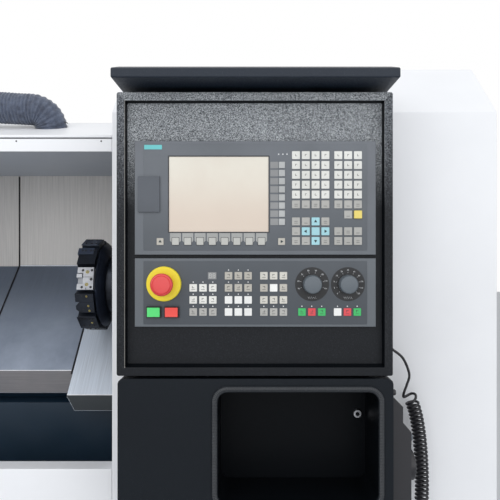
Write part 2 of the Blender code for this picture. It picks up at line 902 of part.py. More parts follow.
def make_z_drive(slope):
    start = RAIL_LEFT + END_BEARING + GAP
    end = BED_RIGHT + GAP
    screw = drum_piece(
        "z_screw",
        (start, 0, 0),
        (end, 0, 0),
        SCREW_RADIUS,
        16,
        "bright_steel",
        slope,
    )
    screw.location = (0, SCREW_UP, SCREW_LEVEL)
    left = BED_RIGHT + 2 * GAP
    half = Z_MOTOR_SIDE / 2
    motor = box_piece(
        "z_motor",
        (left, SCREW_UP - half, SCREW_LEVEL - half),
        (left + Z_MOTOR_LENGTH * Z_MOTOR_BODY_SHARE, SCREW_UP + half, SCREW_LEVEL + half),
        "motor_black",
        slope,
    )
    soften(motor, half / 4)
    cap = drum_piece(
        "z_motor_tool",
        (left + Z_MOTOR_LENGTH * Z_MOTOR_BODY_SHARE - EMBED, SCREW_UP, SCREW_LEVEL),
        (left + Z_MOTOR_LENGTH, SCREW_UP, SCREW_LEVEL),
        half * Z_MOTOR_CAP_SHARE,
        16,
        None,
        slope,
        tool=True,
    )
    join(motor, cap)


def cover_outline(level, wall_front, apron_front, thick, wall_top=None):
    """A bent sheet in (Y, Z): upright wall if it has one, slanted plate, and apron at the front."""
    inner = level - thick
    outside = [(apron_front, APRON_BOTTOM), on_slope(apron_front, level), on_slope(wall_front, level)]
    inside = [
        on_slope(wall_front + (thick if wall_top else 0), inner),
        on_slope(apron_front + thick, inner),
        (apron_front + thick, APRON_BOTTOM),
    ]
    if wall_top is None:
        return outside + inside
    return outside + [(wall_front, wall_top), (wall_front + thick, wall_top)] + inside


def make_way_covers():
    under = COVER_LEVEL - SHEET - GAP
    apron = APRON_FRONT + SHEET + GAP
    wall_face = WALL_FRONT + SHEET + GAP
    outline = cover_outline(under, wall_face - GAP, apron, SHEET)
    left = OPENING_LEFT + GAP
    sheet_piece("left_way_cover", outline, left, LEFT_COVER_END, "stainless")
    sheet_piece("right_way_cover", outline, RIGHT_COVER_START, RIGHT_COVER_END, "stainless")
    moving = cover_outline(COVER_LEVEL, WALL_FRONT, APRON_FRONT, SHEET, CEILING - 2 * GAP)
    sheet_piece("left_telescopic_cover", moving, SLIDER_LEFT, SLIDER_RIGHT, "stainless")
    second = cover_outline(COVER_LEVEL, WALL_FRONT, APRON_FRONT, SHEET)
    sheet_piece("right_telescopic_cover", second, SLIDER2_LEFT, SLIDER2_RIGHT, "stainless")
    box_piece(
        "back_wall",
        (left, wall_face, WALL_BOTTOM),
        (RIGHT_COVER_END, wall_face + SHEET, CEILING - GAP),
        "stainless",
    )


def make_carriage(slope):
    low_level = BED_LEVEL + GAP + RAIL_HEIGHT + GAP
    bm = bmesh.new()
    add_box(
        bm,
        (SADDLE_LEFT, SADDLE_LOW, low_level),
        (SADDLE_RIGHT, SADDLE_HIGH, SADDLE_TOP - GAP),
    )
    saddle = link_piece("carriage", bm, "dark_steel", slope)
    more = bmesh.new()
    for up in (RAIL_LOW, RAIL_HIGH):
        for side in (-1, 1):
            inner = up + side * (RAIL_WIDTH / 2 + GAP)
            outer = up + side * SHOE_WIDTH / 2
            add_box(
                more,
                (SADDLE_LEFT, min(inner, outer), SHOE_LEVEL),
                (SADDLE_RIGHT, max(inner, outer), low_level + EMBED),
            )
    add_box(
        more,
        (NUT_LEFT, SCREW_UP - NUT_WIDTH / 2, NUT_LEVEL),
        (NUT_RIGHT, SCREW_UP + NUT_WIDTH / 2, low_level + EMBED),
    )
    half = BRACKET_WIDTH / 2
    add_box(
        more,
        (GUIDE_X - half, SADDLE_HIGH - EMBED, BRACKET_LOW),
        (GUIDE_X + half, SADDLE_HIGH + BRACKET, BRACKET_HIGH),
    )
    join(saddle, link_piece("saddle_tool", more, None, slope, tool=True))
    ridge_outline = [
        (GUIDE_X - GUIDE_NECK / 2, SADDLE_TOP - EMBED),
        (GUIDE_X + GUIDE_NECK / 2, SADDLE_TOP - EMBED),
        (GUIDE_X + GUIDE_NECK / 2, SADDLE_TOP),
        (GUIDE_X + GUIDE_WIDTH / 2, GUIDE_TOP),
        (GUIDE_X - GUIDE_WIDTH / 2, GUIDE_TOP),
        (GUIDE_X - GUIDE_NECK / 2, SADDLE_TOP),
    ]
    ridge = sheet_piece(
        "ridge_tool", ridge_outline, GUIDE_LOW, GUIDE_HIGH, None, "Y", frame=slope, tool=True
    )
    join(saddle, ridge)
    channel = box_piece(
        "channel_cutter",
        (GUIDE_X - X_SCREW_CHANNEL / 2, GUIDE_LOW - EMBED, X_SCREW_LEVEL - X_SCREW_FLOOR),
        (GUIDE_X + X_SCREW_CHANNEL / 2, SADDLE_HIGH, GUIDE_TOP + OVERRUN),
        None,
        slope,
        tool=True,
    )
    cut(saddle, channel)
    bore = drum_piece(
        "nut_cutter",
        (NUT_LEFT - OVERRUN, SCREW_UP, SCREW_LEVEL),
        (NUT_RIGHT + OVERRUN, SCREW_UP, SCREW_LEVEL),
        SCREW_RADIUS + GAP,
        16,
        None,
        slope,
        tool=True,
    )
    cut(saddle, bore)


def make_carriage_cover(slope):
    top = COVER_LEVEL + RAISE
    front_y, front_z = bed_place(SHIELD_LOW, top)
    inner = top - SHEET
    high = SHIELD_HIGH
    outline = [
        (front_y, front_z - SHIELD_SKIRT),
        (front_y, front_z),
        bed_place(high, top),
        bed_place(high, inner),
        on_slope(front_y + SHEET, inner),
        (front_y + SHEET, front_z - SHIELD_SKIRT),
    ]
    cover = sheet_piece("carriage_cover", outline, SHIELD_LEFT, SHIELD_RIGHT, "stainless")
    slot = box_piece(
        "slot_cutter",
        (CROSS_LEFT - SLOT_MARGIN, SLOT_LOW, top - OVERRUN),
        (CROSS_RIGHT + SLOT_MARGIN, SLOT_HIGH, top + OVERRUN),
        None,
        slope,
        tool=True,
    )
    cut(cover, slot)
    corner = [
        (SHIELD_LEFT - OVERRUN, front_z - SHIELD_SKIRT - OVERRUN),
        (SHIELD_LEFT + SHIELD_CORNER, front_z - SHIELD_SKIRT - OVERRUN),
        (SHIELD_LEFT + SHIELD_CORNER, front_z - SHIELD_SKIRT),
        (SHIELD_LEFT - EMBED, front_z - EMBED * 2),
        (SHIELD_LEFT - OVERRUN, front_z - EMBED * 2),
    ]
    cut(
        cover,
        sheet_piece(
            "corner_cutter",
            corner,
            front_y - OVERRUN,
            front_y + SHEET + EMBED,
            None,
            "Y",
            tool=True,
        ),
    )


def make_cross_slide(slope):
    low = TURRET_UP - CROSS_LENGTH / 2
    high = TURRET_UP + CROSS_LENGTH / 2
    outline = [
        (CROSS_LEFT, SADDLE_TOP + GAP),
        (GUIDE_X - GUIDE_NECK / 2 - GAP, SADDLE_TOP + GAP),
        (GUIDE_X - GUIDE_WIDTH / 2 - GAP, GUIDE_TOP),
        (GUIDE_X - GUIDE_WIDTH / 2 - GAP, GUIDE_TOP + GAP),
        (GUIDE_X + GUIDE_WIDTH / 2 + GAP, GUIDE_TOP + GAP),
        (GUIDE_X + GUIDE_WIDTH / 2 + GAP, GUIDE_TOP),
        (GUIDE_X + GUIDE_NECK / 2 + GAP, SADDLE_TOP + GAP),
        (CROSS_RIGHT, SADDLE_TOP + GAP),
        (CROSS_RIGHT, CROSS_TOP),
        (CROSS_LEFT, CROSS_TOP),
    ]
    slide = sheet_piece("cross_slide", outline, low, high, "dark_steel", "Y", frame=slope)
    half = X_NUT_LENGTH / 2
    side = X_SCREW_CHANNEL / 2 - EMBED
    lug = box_piece(
        "lug_tool",
        (GUIDE_X - side, TURRET_UP - half, X_SCREW_LEVEL - X_SCREW_FLOOR + EMBED),
        (GUIDE_X + side, TURRET_UP + half, GUIDE_TOP + EMBED),
        None,
        slope,
        tool=True,
    )
    join(slide, lug)
    bore = drum_piece(
        "lug_cutter",
        (GUIDE_X, low, X_SCREW_LEVEL),
        (GUIDE_X, high, X_SCREW_LEVEL),
        X_SCREW_RADIUS + GAP,
        12,
        None,
        slope,
        tool=True,
    )
    cut(slide, bore)


def make_x_drive(slope):
    end = SADDLE_HIGH - GAP
    screw = drum_piece(
        "x_screw",
        (0, GUIDE_LOW, 0),
        (0, end, 0),
        X_SCREW_RADIUS,
        12,
        "bright_steel",
        slope,
    )
    screw.location = (GUIDE_X, 0, X_SCREW_LEVEL)
    half = X_MOTOR_SIDE / 2
    start = SADDLE_HIGH + BRACKET + GAP
    motor = box_piece(
        "x_motor",
        (GUIDE_X - half, start, X_SCREW_LEVEL - half),
        (GUIDE_X + half, start + X_MOTOR_LENGTH, X_SCREW_LEVEL + half),
        "motor_black",
        slope,
    )
    soften(motor, half / 5)


def make_turret_housing(slope):
    bm = bmesh.new()
    left = TURRET_FACE_X + GAP
    add_drum(
        bm,
        (left, TURRET_UP, 0),
        (TURRET_BODY_RIGHT, TURRET_UP, 0),
        TURRET_BODY_RADIUS,
        32,
    )
    housing = link_piece("turret_housing", bm, "dark_steel", slope)
    half = TURRET_BASE_WIDTH / 2
    more = bmesh.new()
    add_box(
        more,
        (TURRET_BASE_LEFT, TURRET_UP - half, CROSS_TOP + GAP),
        (TURRET_BODY_RIGHT - EMBED, TURRET_UP + half, 0),
    )
    add_drum(
        more,
        (TURRET_BODY_RIGHT - EMBED, TURRET_UP, 0),
        (TURRET_BODY_RIGHT + INDEX_MOTOR_LENGTH, TURRET_UP, 0),
        INDEX_MOTOR_RADIUS,
        20,
    )
    join(housing, link_piece("turret_base_tool", more, None, slope, tool=True))


def station_turn(station):
    """The turn that brings a block drawn at the front of the disc to its station."""
    angle = TURRET_TILT + station * 2 * math.pi / TURRET_STATIONS
    return Matrix.Rotation(-angle, 4, "X")


def add_turned_box(bm, low, high, turn):
    points = add_box(bm, low, high)
    bmesh.ops.transform(bm, matrix=turn, verts=points)


def make_turret_disc(turret):
    """Drawn round the turret's axis, with station 0 facing the operator (-Y)."""
    bm = bmesh.new()
    across = TURRET_FLAT / math.cos(math.pi / TURRET_STATIONS)
    add_drum(bm, (TURRET_LEFT, 0, 0), (TURRET_FACE_X - TURRET_FLANGE + EMBED, 0, 0), across, 12)
    half_side = math.pi / TURRET_STATIONS
    spin = Matrix.Rotation(half_side - TURRET_TILT + math.pi / 2, 4, "X")
    bmesh.ops.transform(bm, matrix=spin, verts=bm.verts)
    disc = link_piece("turret_disc", bm, "dark_steel", turret)
    more = bmesh.new()
    add_drum(
        more,
        (TURRET_FACE_X - TURRET_FLANGE, 0, 0),
        (TURRET_FACE_X, 0, 0),
        TURRET_FLANGE_RADIUS,
        48,
        TURRET_FLANGE_RADIUS - TURRET_FLANGE / 2,
    )
    add_drum(more, (TURRET_LEFT - TURRET_HUB_PROUD, 0, 0), (TURRET_LEFT + EMBED, 0, 0), TURRET_HUB_RADIUS, 24)
    join(disc, link_piece("flange_tool", more, None, turret, tool=True))
    right = TURRET_FACE_X - TURRET_FLANGE - GAP
    blocks = bmesh.new()
    for station in range(TURRET_STATIONS):
        if station in (0, 1, TURRET_STATIONS - 1):
            continue
        turn = station_turn(station)
        half = HOLDER_WIDTH / 2 - (station % 3) * EMBED
        top = TURRET_FLAT + HOLDER_HEIGHT - (station % 2) * HOLDER_STEP / 2
        add_turned_box(
            blocks, (TURRET_LEFT + EMBED, -top, -half), (right, -TURRET_FLAT + EMBED, half), turn
        )
    join(disc, link_piece("holders_tool", blocks, None, turret, tool=True))
    return disc


def make_turning_holder(turret):
    """Square-shank holder, empty, with the end of its clamping wedge towards the chuck."""
    turn = station_turn(1)
    right = TURRET_FACE_X - TURRET_FLANGE - GAP
    foot = TURRET_FLAT + GAP
    half = HOLDER_WIDTH / 2
    bm = bmesh.new()
    top = foot + HOLDER_HEIGHT
    add_turned_box(bm, (TURRET_LEFT, -top, -half), (right, -foot, half), turn)
    holder = link_piece("turning_holder", bm, "dark_steel", turret)
    more = bmesh.new()
    add_turned_box(
        more,
        (TURRET_LEFT - HOLDER_REACH, -top - EMBED, HOLDER_STEP / 2),
        (right - HOLDER_STEP, -foot - HOLDER_STEP, half - EMBED),
        turn,
    )
    join(holder, link_piece("wedge_tool", more, None, turret, tool=True))


def make_drill_holder(turret):
    """Empty round-shank holder: a straight upper half and a lower half with chamfered corners."""
    turn = station_turn(TURRET_STATIONS - 1)
    right = TURRET_FACE_X - TURRET_FLANGE - GAP
    foot = TURRET_FLAT + GAP
    half = HOLDER_WIDTH / 2
    top = foot + HOLDER_HEIGHT
    outline = [
        (right, -half),
        (right, half),
        (TURRET_LEFT, half),
        (TURRET_LEFT, DRILL_SPLIT),
        (TURRET_LEFT + DRILL_CHAMFER, DRILL_SPLIT),
        (TURRET_LEFT + EMBED, -DRILL_WAIST),
        (TURRET_LEFT + EMBED, -DRILL_WAIST - HOLDER_STEP),
        (TURRET_LEFT + DRILL_CHAMFER / 2, -half),
    ]
    bm = bmesh.new()
    add_sheet(bm, outline, -top, -foot, "Y")
    bmesh.ops.transform(bm, matrix=turn, verts=bm.verts)
    link_piece("drill_holder", bm, "dark_steel", turret)


def make_boring_holder(turret):
    """Bright block with a notch at its left, where the cut-off end of its bar shows."""
    turn = station_turn(0)
    right = TURRET_FACE_X - TURRET_FLANGE - GAP
    left = TURRET_LEFT + BORING_SETBACK
    foot = TURRET_FLAT + GAP
    half = BORING_WIDTH / 2
    half_foot = HOLDER_WIDTH / 2
    top = foot + BORING_HEIGHT
    bm = bmesh.new()
    outline = [
        (-foot, -half_foot),
        (-foot, half_foot),
        (-foot - BORING_HEIGHT / 3, half),
        (-top, half),
        (-top, -half),
        (-foot - BORING_HEIGHT / 3, -half),
    ]
    add_sheet(bm, outline, left, right)
    bmesh.ops.transform(bm, matrix=turn, verts=bm.verts)
    holder = link_piece("boring_holder", bm, "bright_steel", turret)
    notch = bmesh.new()
    add_turned_box(
        notch,
        (left - OVERRUN, -top - OVERRUN, -BORING_NOTCH_WIDTH / 2),
        (left + BORING_NOTCH, -top + BORING_HEIGHT / 3, BORING_NOTCH_WIDTH / 2),
        turn,
    )
    cut(holder, link_piece("notch_cutter", notch, None, turret, tool=True))
    stub = bmesh.new()
    add_turned_box(
        stub,
        (left - BORING_STUB_REACH, -top + EMBED, BORING_NOTCH_WIDTH / 2 - BORING_STUB_WIDTH),
        (left + BORING_NOTCH + EMBED, -top + BORING_HEIGHT / 3 + EMBED, BORING_NOTCH_WIDTH / 2 + EMBED),
        turn,
    )
    join(holder, link_piece("stub_tool", stub, None, turret, tool=True))


def make_headstock(slope):
    low = BED_LEVEL + GAP
    outline = [
        (HEAD_FOOT_LOW, low),
        (HEAD_FOOT_HIGH, low),
        (HEAD_FOOT_HIGH, HEAD_HEEL),
        (HEAD_SHOULDER_HIGH, HEAD_SHOULDER),
        (HEAD_SHOULDER_LOW, HEAD_SHOULDER),
        (HEAD_SHOULDER_LOW, HEAD_CHIN),
        (HEAD_FOOT_LOW, HEAD_HEEL),
    ]
    head = sheet_piece("headstock", outline, HEAD_LEFT, HEAD_RIGHT, "bed_paint", frame=slope)
    barrel = drum_piece(
        "barrel_tool",
        (HEAD_LEFT + EMBED, 0, 0),
        (HEAD_RIGHT + EMBED, 0, 0),
        BARREL_RADIUS,
        32,
        None,
        slope,
        tool=True,
    )
    join(head, barrel)
    bore = drum_piece(
        "head_cutter",
        (HEAD_LEFT - OVERRUN, 0, 0),
        (HEAD_RIGHT + OVERRUN, 0, 0),
        SPINDLE_RADIUS + GAP,
        32,
        None,
        slope,
        tool=True,
    )
    cut(head, bore)


def make_spindle(axis):
    nose_right = CHUCK_BACK - GAP
    profile = [
        (SPINDLE_BORE, nose_right),
        (SPINDLE_NOSE, nose_right),
        (SPINDLE_NOSE, NOSE_LEFT),
        (SPINDLE_RADIUS, NOSE_LEFT),
        (SPINDLE_RADIUS, SPINDLE_LEFT),
        (SPINDLE_BORE, SPINDLE_LEFT),
        (SPINDLE_BORE, nose_right),
    ]
    turned_piece("spindle", profile, (0, 0, 0), 32, "bright_steel", "X", axis)


def make_chuck(axis):
    profile = [
        (CHUCK_BORE, CHUCK_FACE),
        (CHUCK_RADIUS - CHUCK_EDGE, CHUCK_FACE),
        (CHUCK_RADIUS, CHUCK_FACE - CHUCK_EDGE),
        (CHUCK_RADIUS, CHUCK_BACK),
        (CHUCK_BORE, CHUCK_BACK),
        (CHUCK_BORE, CHUCK_FACE),
    ]
    chuck = turned_piece("chuck_body", profile, (0, 0, 0), 32, "bright_steel", "X", axis)
    slots = bmesh.new()
    for k in range(JAWS):
        turn = Matrix.Rotation(k * 2 * math.pi / JAWS, 4, "X")
        add_turned_box(
            slots,
            (CHUCK_FACE - JAW_SLOT_DEPTH, -JAW_SLOT / 2, 0),
            (CHUCK_FACE + OVERRUN, JAW_SLOT / 2, CHUCK_RADIUS + OVERRUN),
            turn,
        )
    cut(chuck, link_piece("jaw_slot_cutter", slots, None, axis, tool=True))
    for k in range(JAWS):
        turn = Matrix.Rotation(k * 2 * math.pi / JAWS, 4, "X")
        bm = bmesh.new()
        half = JAW_SLOT / 2 - GAP
        add_turned_box(
            bm,
            (CHUCK_FACE - JAW_SLOT_DEPTH + GAP, -half, JAW_INNER),
            (CHUCK_FACE + EMBED, half, JAW_BASE_OUTER),
            turn,
        )
        jaw = link_piece(f"chuck_jaw_{k + 1}", bm, "bright_steel", axis)
        more = bmesh.new()
        side = JAW_WIDTH / 2
        add_turned_box(
            more,
            (CHUCK_FACE + GAP, -side, JAW_INNER),
            (CHUCK_FACE + JAW_STEP_PROUD, side, JAW_OUTER),
            turn,
        )
        add_turned_box(
            more,
            (CHUCK_FACE + JAW_STEP_PROUD - EMBED, -side + EMBED, JAW_INNER + EMBED),
            (CHUCK_FACE + JAW_PROUD, side - EMBED, JAW_STEP),
            turn,
        )
        join(jaw, link_piece(f"jaw_tool_{k + 1}", more, None, axis, tool=True))


def make_spindle_motor(axis):
    right = HEAD_LEFT - GAP
    inner = SPINDLE_RADIUS + GAP
    profile = [(inner, right), (MOTOR_RADIUS, right)]
    pitch = (right - MOTOR_LEFT) / (MOTOR_FINS + FIN_SHARE)
    for k in range(MOTOR_FINS):
        x = right - pitch * (k + FIN_SHARE)
        profile += [
            (MOTOR_RADIUS, x),
            (MOTOR_RADIUS - MOTOR_FIN_DEPTH, x),
            (MOTOR_RADIUS - MOTOR_FIN_DEPTH, x - pitch * FIN_SHARE),
            (MOTOR_RADIUS, x - pitch * FIN_SHARE),
        ]
    profile += [(MOTOR_RADIUS, MOTOR_LEFT), (inner, MOTOR_LEFT), (inner, right)]
    turned_piece("spindle_motor", profile, (0, 0, 0), 32, "motor_black", "X", axis)


def make_left_cover():
    low = BASE_TOP + GAP
    top = CEILING - GAP
    box = box_piece(
        "left_cover",
        (-HALF_WIDTH, LEFT_FRONT, low),
        (OPENING_LEFT, REAR, top),
        "white_paint",
    )
    inside = box_piece(
        "left_cover_cutter",
        (-HALF_WIDTH + WALL, LEFT_FRONT + WALL, low - OVERRUN),
        (OPENING_LEFT - WALL, REAR - WALL, top - WALL),
        None,
        tool=True,
    )
    cut(box, inside)
    under = COVER_LEVEL - SHEET * 3
    step = WALL * 2
    passage = [
        (BED_FRONT - step, low - OVERRUN),
        (BED_FRONT - step, on_slope(BED_FRONT - step, under)[1]),
        on_slope(REAR / 4, under),
        (REAR / 4, BED_REAR_TOP + step * 3),
        (BED_REAR + step, BED_REAR_TOP + step * 3),
        (BED_REAR + step, low - OVERRUN),
    ]
    gate = sheet_piece(
        "bed_gate_cutter",
        passage,
        OPENING_LEFT - WALL - OVERRUN,
        OPENING_LEFT + OVERRUN,
        None,
        tool=True,
    )
    cut(box, gate)
    nose = drum_piece(
        "nose_cutter",
        (OPENING_LEFT - WALL - OVERRUN, SPINDLE_Y, SPINDLE_Z),
        (OPENING_LEFT + OVERRUN, SPINDLE_Y, SPINDLE_Z),
        NOSE_HOLE,
        32,
        None,
        tool=True,
    )
    cut(box, nose)


def make_right_cover():
    slope_run = ROOF_HIGH - CABINET_TOP
    low = BASE_TOP + GAP

    def outline(inset, bottom):
        corner = inset * math.tan(SLOPE / 2)
        return [
            (FRONT + inset, bottom),
            (FRONT + inset, CABINET_TOP - corner),
            (FRONT + slope_run + corner, ROOF_HIGH - inset),
            (REAR - inset, ROOF_HIGH - inset),
            (REAR - inset, bottom),
        ]

    box = sheet_piece("right_cover", outline(0, low), OPENING_RIGHT, HALF_WIDTH, "white_paint")
    inside = sheet_piece(
        "right_cover_cutter",
        outline(WALL, low - OVERRUN),
        OPENING_RIGHT + WALL,
        HALF_WIDTH - WALL,
        None,
        tool=True,
    )
    cut(box, inside)
    window = box_piece(
        "work_window_cutter",
        (OPENING_RIGHT - OVERRUN, WINDOW_FRONT, low - OVERRUN),
        (OPENING_RIGHT + WALL + OVERRUN, WINDOW_REAR, CEILING - GAP),
        None,
        tool=True,
    )
    cut(box, window)


def make_roof():
    outline = [
        (FRONT, ROOF_LIP),
        (FRONT, ROOF_FRONT_TOP),
        (RIDGE_Y, RIDGE_TOP),
        (REAR, RIDGE_TOP),
        (REAR, CEILING),
        (WINDOW_FRONT, CEILING),
        (WINDOW_FRONT, ROOF_LIP),
    ]
    roof = sheet_piece(
        "roof_cover", outline, -HALF_WIDTH, OPENING_RIGHT - GAP, "white_paint"
    )
    run = Vector((RIDGE_Y - FRONT, RIDGE_TOP - ROOF_FRONT_TOP))
    mouth = Vector((DUCT_Y, ROOF_FRONT_TOP + run.y / run.x * (DUCT_Y - FRONT)))
    out = Vector((-run.y, run.x)).normalized()
    hole = drum_piece(
        "duct_cutter",
        (DUCT_X, *(mouth - out * DUCT_RADIUS * 3)),
        (DUCT_X, *(mouth + out * DUCT_RADIUS)),
        DUCT_RADIUS + DUCT_CLEARANCE,
        48,
        None,
        tool=True,
    )
    cut(roof, hole)
    back = FRONT + HEADER_DEPTH
    profile = [
        (FRONT, HEADER_BOTTOM),
        (FRONT, HEADER_TOP),
        (back, HEADER_TOP),
        (back, HEADER_TOP - HEADER_PLATE),
        (FRONT + HEADER_PLATE, HEADER_TOP - HEADER_PLATE),
        (FRONT + HEADER_PLATE, HEADER_BOTTOM),
    ]
    sheet_piece("header_panel", profile, -HALF_WIDTH, OPENING_RIGHT - GAP, "white_paint")


def make_front_panel():
    sill_back = LEFT_FRONT - GAP
    profile = [
        (FRONT, PANEL_BOTTOM),
        (FRONT, PANEL_SILL),
        (sill_back, PANEL_SILL),
        (sill_back, PANEL_SILL - 2 * WALL),
        (sill_back - WALL, PANEL_SILL - 2 * WALL),
        (sill_back - WALL, PANEL_SILL - WALL),
        (FRONT + WALL, PANEL_SILL - WALL),
        (FRONT + WALL, PANEL_BOTTOM),
    ]
    sheet_piece("front_panel", profile, -HALF_WIDTH, OPENING_RIGHT - GAP, "white_paint")


def make_rear_cover():
    front = REAR + GAP
    outline = [
        (front, REAR_BOTTOM),
        (front, REAR_TOP),
        (REAR_BACK - REAR_CHAMFER, REAR_TOP),
        (REAR_BACK, REAR_TOP - REAR_CHAMFER),
        (REAR_BACK, REAR_BOTTOM),
    ]
    cover = sheet_piece("rear_cover", outline, -REAR_HALF, REAR_HALF, "white_paint")
    bay = box_piece(
        "bay_cabinet_cutter",
        (BAY_LEFT, REAR_BACK - BAY_DEPTH, BAY_LOW),
        (BAY_RIGHT, REAR_BACK + OVERRUN, BAY_HIGH),
        None,
        tool=True,
    )
    cut(cover, bay)
    left, right = BAY_LEFT - DOOR_LAP, BAY_RIGHT + DOOR_LAP
    back = REAR_BACK + GAP
    bm = bmesh.new()
    add_box(
        bm,
        (left, back, BAY_LOW - DOOR_LAP),
        (right, back + CABINET_DOOR_THICK, BAY_HIGH + DOOR_LAP),
    )
    door = link_piece("cabinet_door", bm, "white_paint")
    latch_z = (BAY_LOW + BAY_HIGH) / 2
    latch = bmesh.new()
    add_box(
        latch,
        (left + LATCH_WIDTH, back + CABINET_DOOR_THICK - EMBED, latch_z - LATCH_HEIGHT / 2),
        (left + 2 * LATCH_WIDTH, HALF_DEPTH, latch_z + LATCH_HEIGHT / 2),
    )
    join(door, link_piece("latch_tool", latch, None, tool=True))
    pivot(door, (right, back, latch_z))


def make_door():
    low, high = PANEL_SILL + GAP, HEADER_TOP - HEADER_PLATE - GAP
    window = rounded(GLASS_LEFT, GLASS_RIGHT, GLASS_LOW, GLASS_HIGH, GLASS_RADIUS)
    outline = [
        (DOOR_LEFT, low),
        (DOOR_RIGHT, low),
        (DOOR_RIGHT, high),
        (DOOR_LEFT, high),
    ]
    sheet_piece(
        "door_panel", outline, DOOR_FRONT, DOOR_BACK, "white_paint", "Y", holes=(window,)
    )
    pane = rounded(
        GLASS_LEFT + GAP, GLASS_RIGHT - GAP, GLASS_LOW + GAP, GLASS_HIGH - GAP, GLASS_RADIUS - GAP
    )
    middle = (DOOR_FRONT + DOOR_BACK) / 2
    half = GLASS_THICK / 2
    sheet_piece("door_window", pane, middle - half, middle + half, "window_glass", "Y")
    front = DOOR_FRONT - GAP
    reach = front - HANDLE_REACH
    bend = HANDLE_RADIUS * 2
    route = [
        (HANDLE_X, front, HANDLE_LOW),
        (HANDLE_X, reach + bend, HANDLE_LOW),
        (HANDLE_X, reach + bend * HANDLE_BEND_SHARE, HANDLE_LOW + bend * HANDLE_BEND_SHARE),
        (HANDLE_X, reach, HANDLE_LOW + bend),
        (HANDLE_X, reach, HANDLE_HIGH - bend),
        (HANDLE_X, reach + bend * HANDLE_BEND_SHARE, HANDLE_HIGH - bend * HANDLE_BEND_SHARE),
        (HANDLE_X, reach + bend, HANDLE_HIGH),
        (HANDLE_X, front, HANDLE_HIGH),
    ]
    curve_piece("door_handle", route, HANDLE_RADIUS, "black_plastic", 2)


def make_duct():
    curve_piece(
        "fume_duct", smooth_route(DUCT_ROUTE, DUCT_RADIUS * 4), DUCT_RADIUS, "duct_fabric", 3
    )
    low = RIDGE_TOP + GAP
    box = box_piece(
        "mist_collector",
        (COLLECTOR_LEFT, COLLECTOR_FRONT, low),
        (COLLECTOR_RIGHT, COLLECTOR_BACK, COLLECTOR_TOP),
        "white_paint",
    )
    soften(box, COLLECTOR_EDGE)
    more = bmesh.new()
    add_drum(
        more,
        (COLLECTOR_RIGHT - EMBED, INLET_Y, INLET_Z),
        (COLLECTOR_RIGHT + INLET_LENGTH, INLET_Y, INLET_Z),
        DUCT_RADIUS,
        20,
    )
    middle_x = (COLLECTOR_LEFT + COLLECTOR_RIGHT) / 2
    middle_y = (COLLECTOR_FRONT + COLLECTOR_BACK) / 2
    add_drum(
        more,
        (middle_x, middle_y, COLLECTOR_TOP - EMBED),
        (middle_x, middle_y, COLLECTOR_TOP + DOME_HEIGHT),
        DOME_RADIUS,
        20,
        DOME_RADIUS * DOME_TOP_SHARE,
    )
    join(box, link_piece("inlet_tool", more, None, tool=True))


def make_housing():
    back = FRONT - GAP
    housing = box_piece(
        "console_housing",
        (HOUSING_LEFT, HOUSING_FRONT, HOUSING_BOTTOM),
        (HOUSING_RIGHT, back, HOUSING_TOP),
        "hammertone",
    )
    soften(housing, HOUSING_EDGE)
    bm = bmesh.new()
    inner = RIM + RIM_FLARE
    points = add_box(
        bm,
        (HOUSING_LEFT + inner, HOUSING_FRONT, HOUSING_BOTTOM + RIM + RIM_LEDGE),
        (HOUSING_RIGHT - inner, HOUSING_FRONT + FIELD_DEPTH, HOUSING_TOP - inner),
    )
    centre_x = (HOUSING_LEFT + HOUSING_RIGHT) / 2
    centre_z = (HOUSING_BOTTOM + HOUSING_TOP) / 2
    for point in points:
        if point.co.y < HOUSING_FRONT + FIELD_DEPTH / 2:
            point.co.x += math.copysign(RIM_FLARE, point.co.x - centre_x)
            point.co.z += RIM_FLARE if point.co.z > centre_z else -RIM_LEDGE
            point.co.y -= EMBED
    cut(housing, link_piece("field_cutter", bm, None, tool=True))
    gland = bmesh.new()
    add_drum(
        gland,
        (HOUSING_RIGHT - EMBED, GLAND_Y, GLAND_Z),
        (HOUSING_RIGHT + GLAND_LENGTH, GLAND_Y, GLAND_Z),
        GLAND_RADIUS,
        12,
        GLAND_RADIUS * GLAND_TIP_SHARE,
    )
    join(housing, link_piece("gland_tool", gland, None, tool=True))


def make_visor():
    slope_y = FRONT + VISOR_BOTTOM - CABINET_TOP - GAP * 2
    outline = [
        (slope_y, VISOR_BOTTOM),
        (VISOR_FRONT, VISOR_BOTTOM),
        (VISOR_FRONT, VISOR_BOTTOM + VISOR_LIP),
        (VISOR_FRONT + VISOR_BREAK, VISOR_BOTTOM + VISOR_BREAK_RISE),
        (slope_y + VISOR_BACK_RISE, VISOR_BOTTOM + VISOR_BACK_RISE),
    ]
    sheet_piece("console_visor", outline, VISOR_LEFT, HOUSING_RIGHT, "hammertone")


def plate_box(bm, x, drop, width, height, top, proud, depth=EMBED):
    """A box on a plate, centred at that distance from its left edge and below its top edge."""
    centre_x, centre_z = PLATE_LEFT + x, top - drop
    add_box(
        bm,
        (centre_x - width / 2, PLATE_FRONT - proud, centre_z - height / 2),
        (centre_x + width / 2, PLATE_FRONT + depth, centre_z + height / 2),
    )


def upper_keys():
    """(x, drop) of each small key on the upper plate, but for the reset key."""
    found = []
    for row in LETTER_ROW_SHARES:
        for column in range(LETTER_COLUMNS):
            found.append((KEY_FIRST_X + column * KEY_PITCH, KEY_FIRST_DROP + row * KEY_ROW_PITCH))
    for row in NUMBER_ROW_SHARES:
        for column in range(NUMBER_COLUMNS):
            found.append((KEY_BLOCK2_X + column * KEY_PITCH, KEY_FIRST_DROP + row * KEY_ROW_PITCH))
    middle = KEY_BLOCK2_X + KEY_PITCH
    found.append((middle, KEY_FIRST_DROP + RESET_ROW_SHARE * KEY_ROW_PITCH))
    found += [(RECALL_X, RECALL_DROP), (RECALL_RIGHT_X, RECALL_DROP)]
    return found


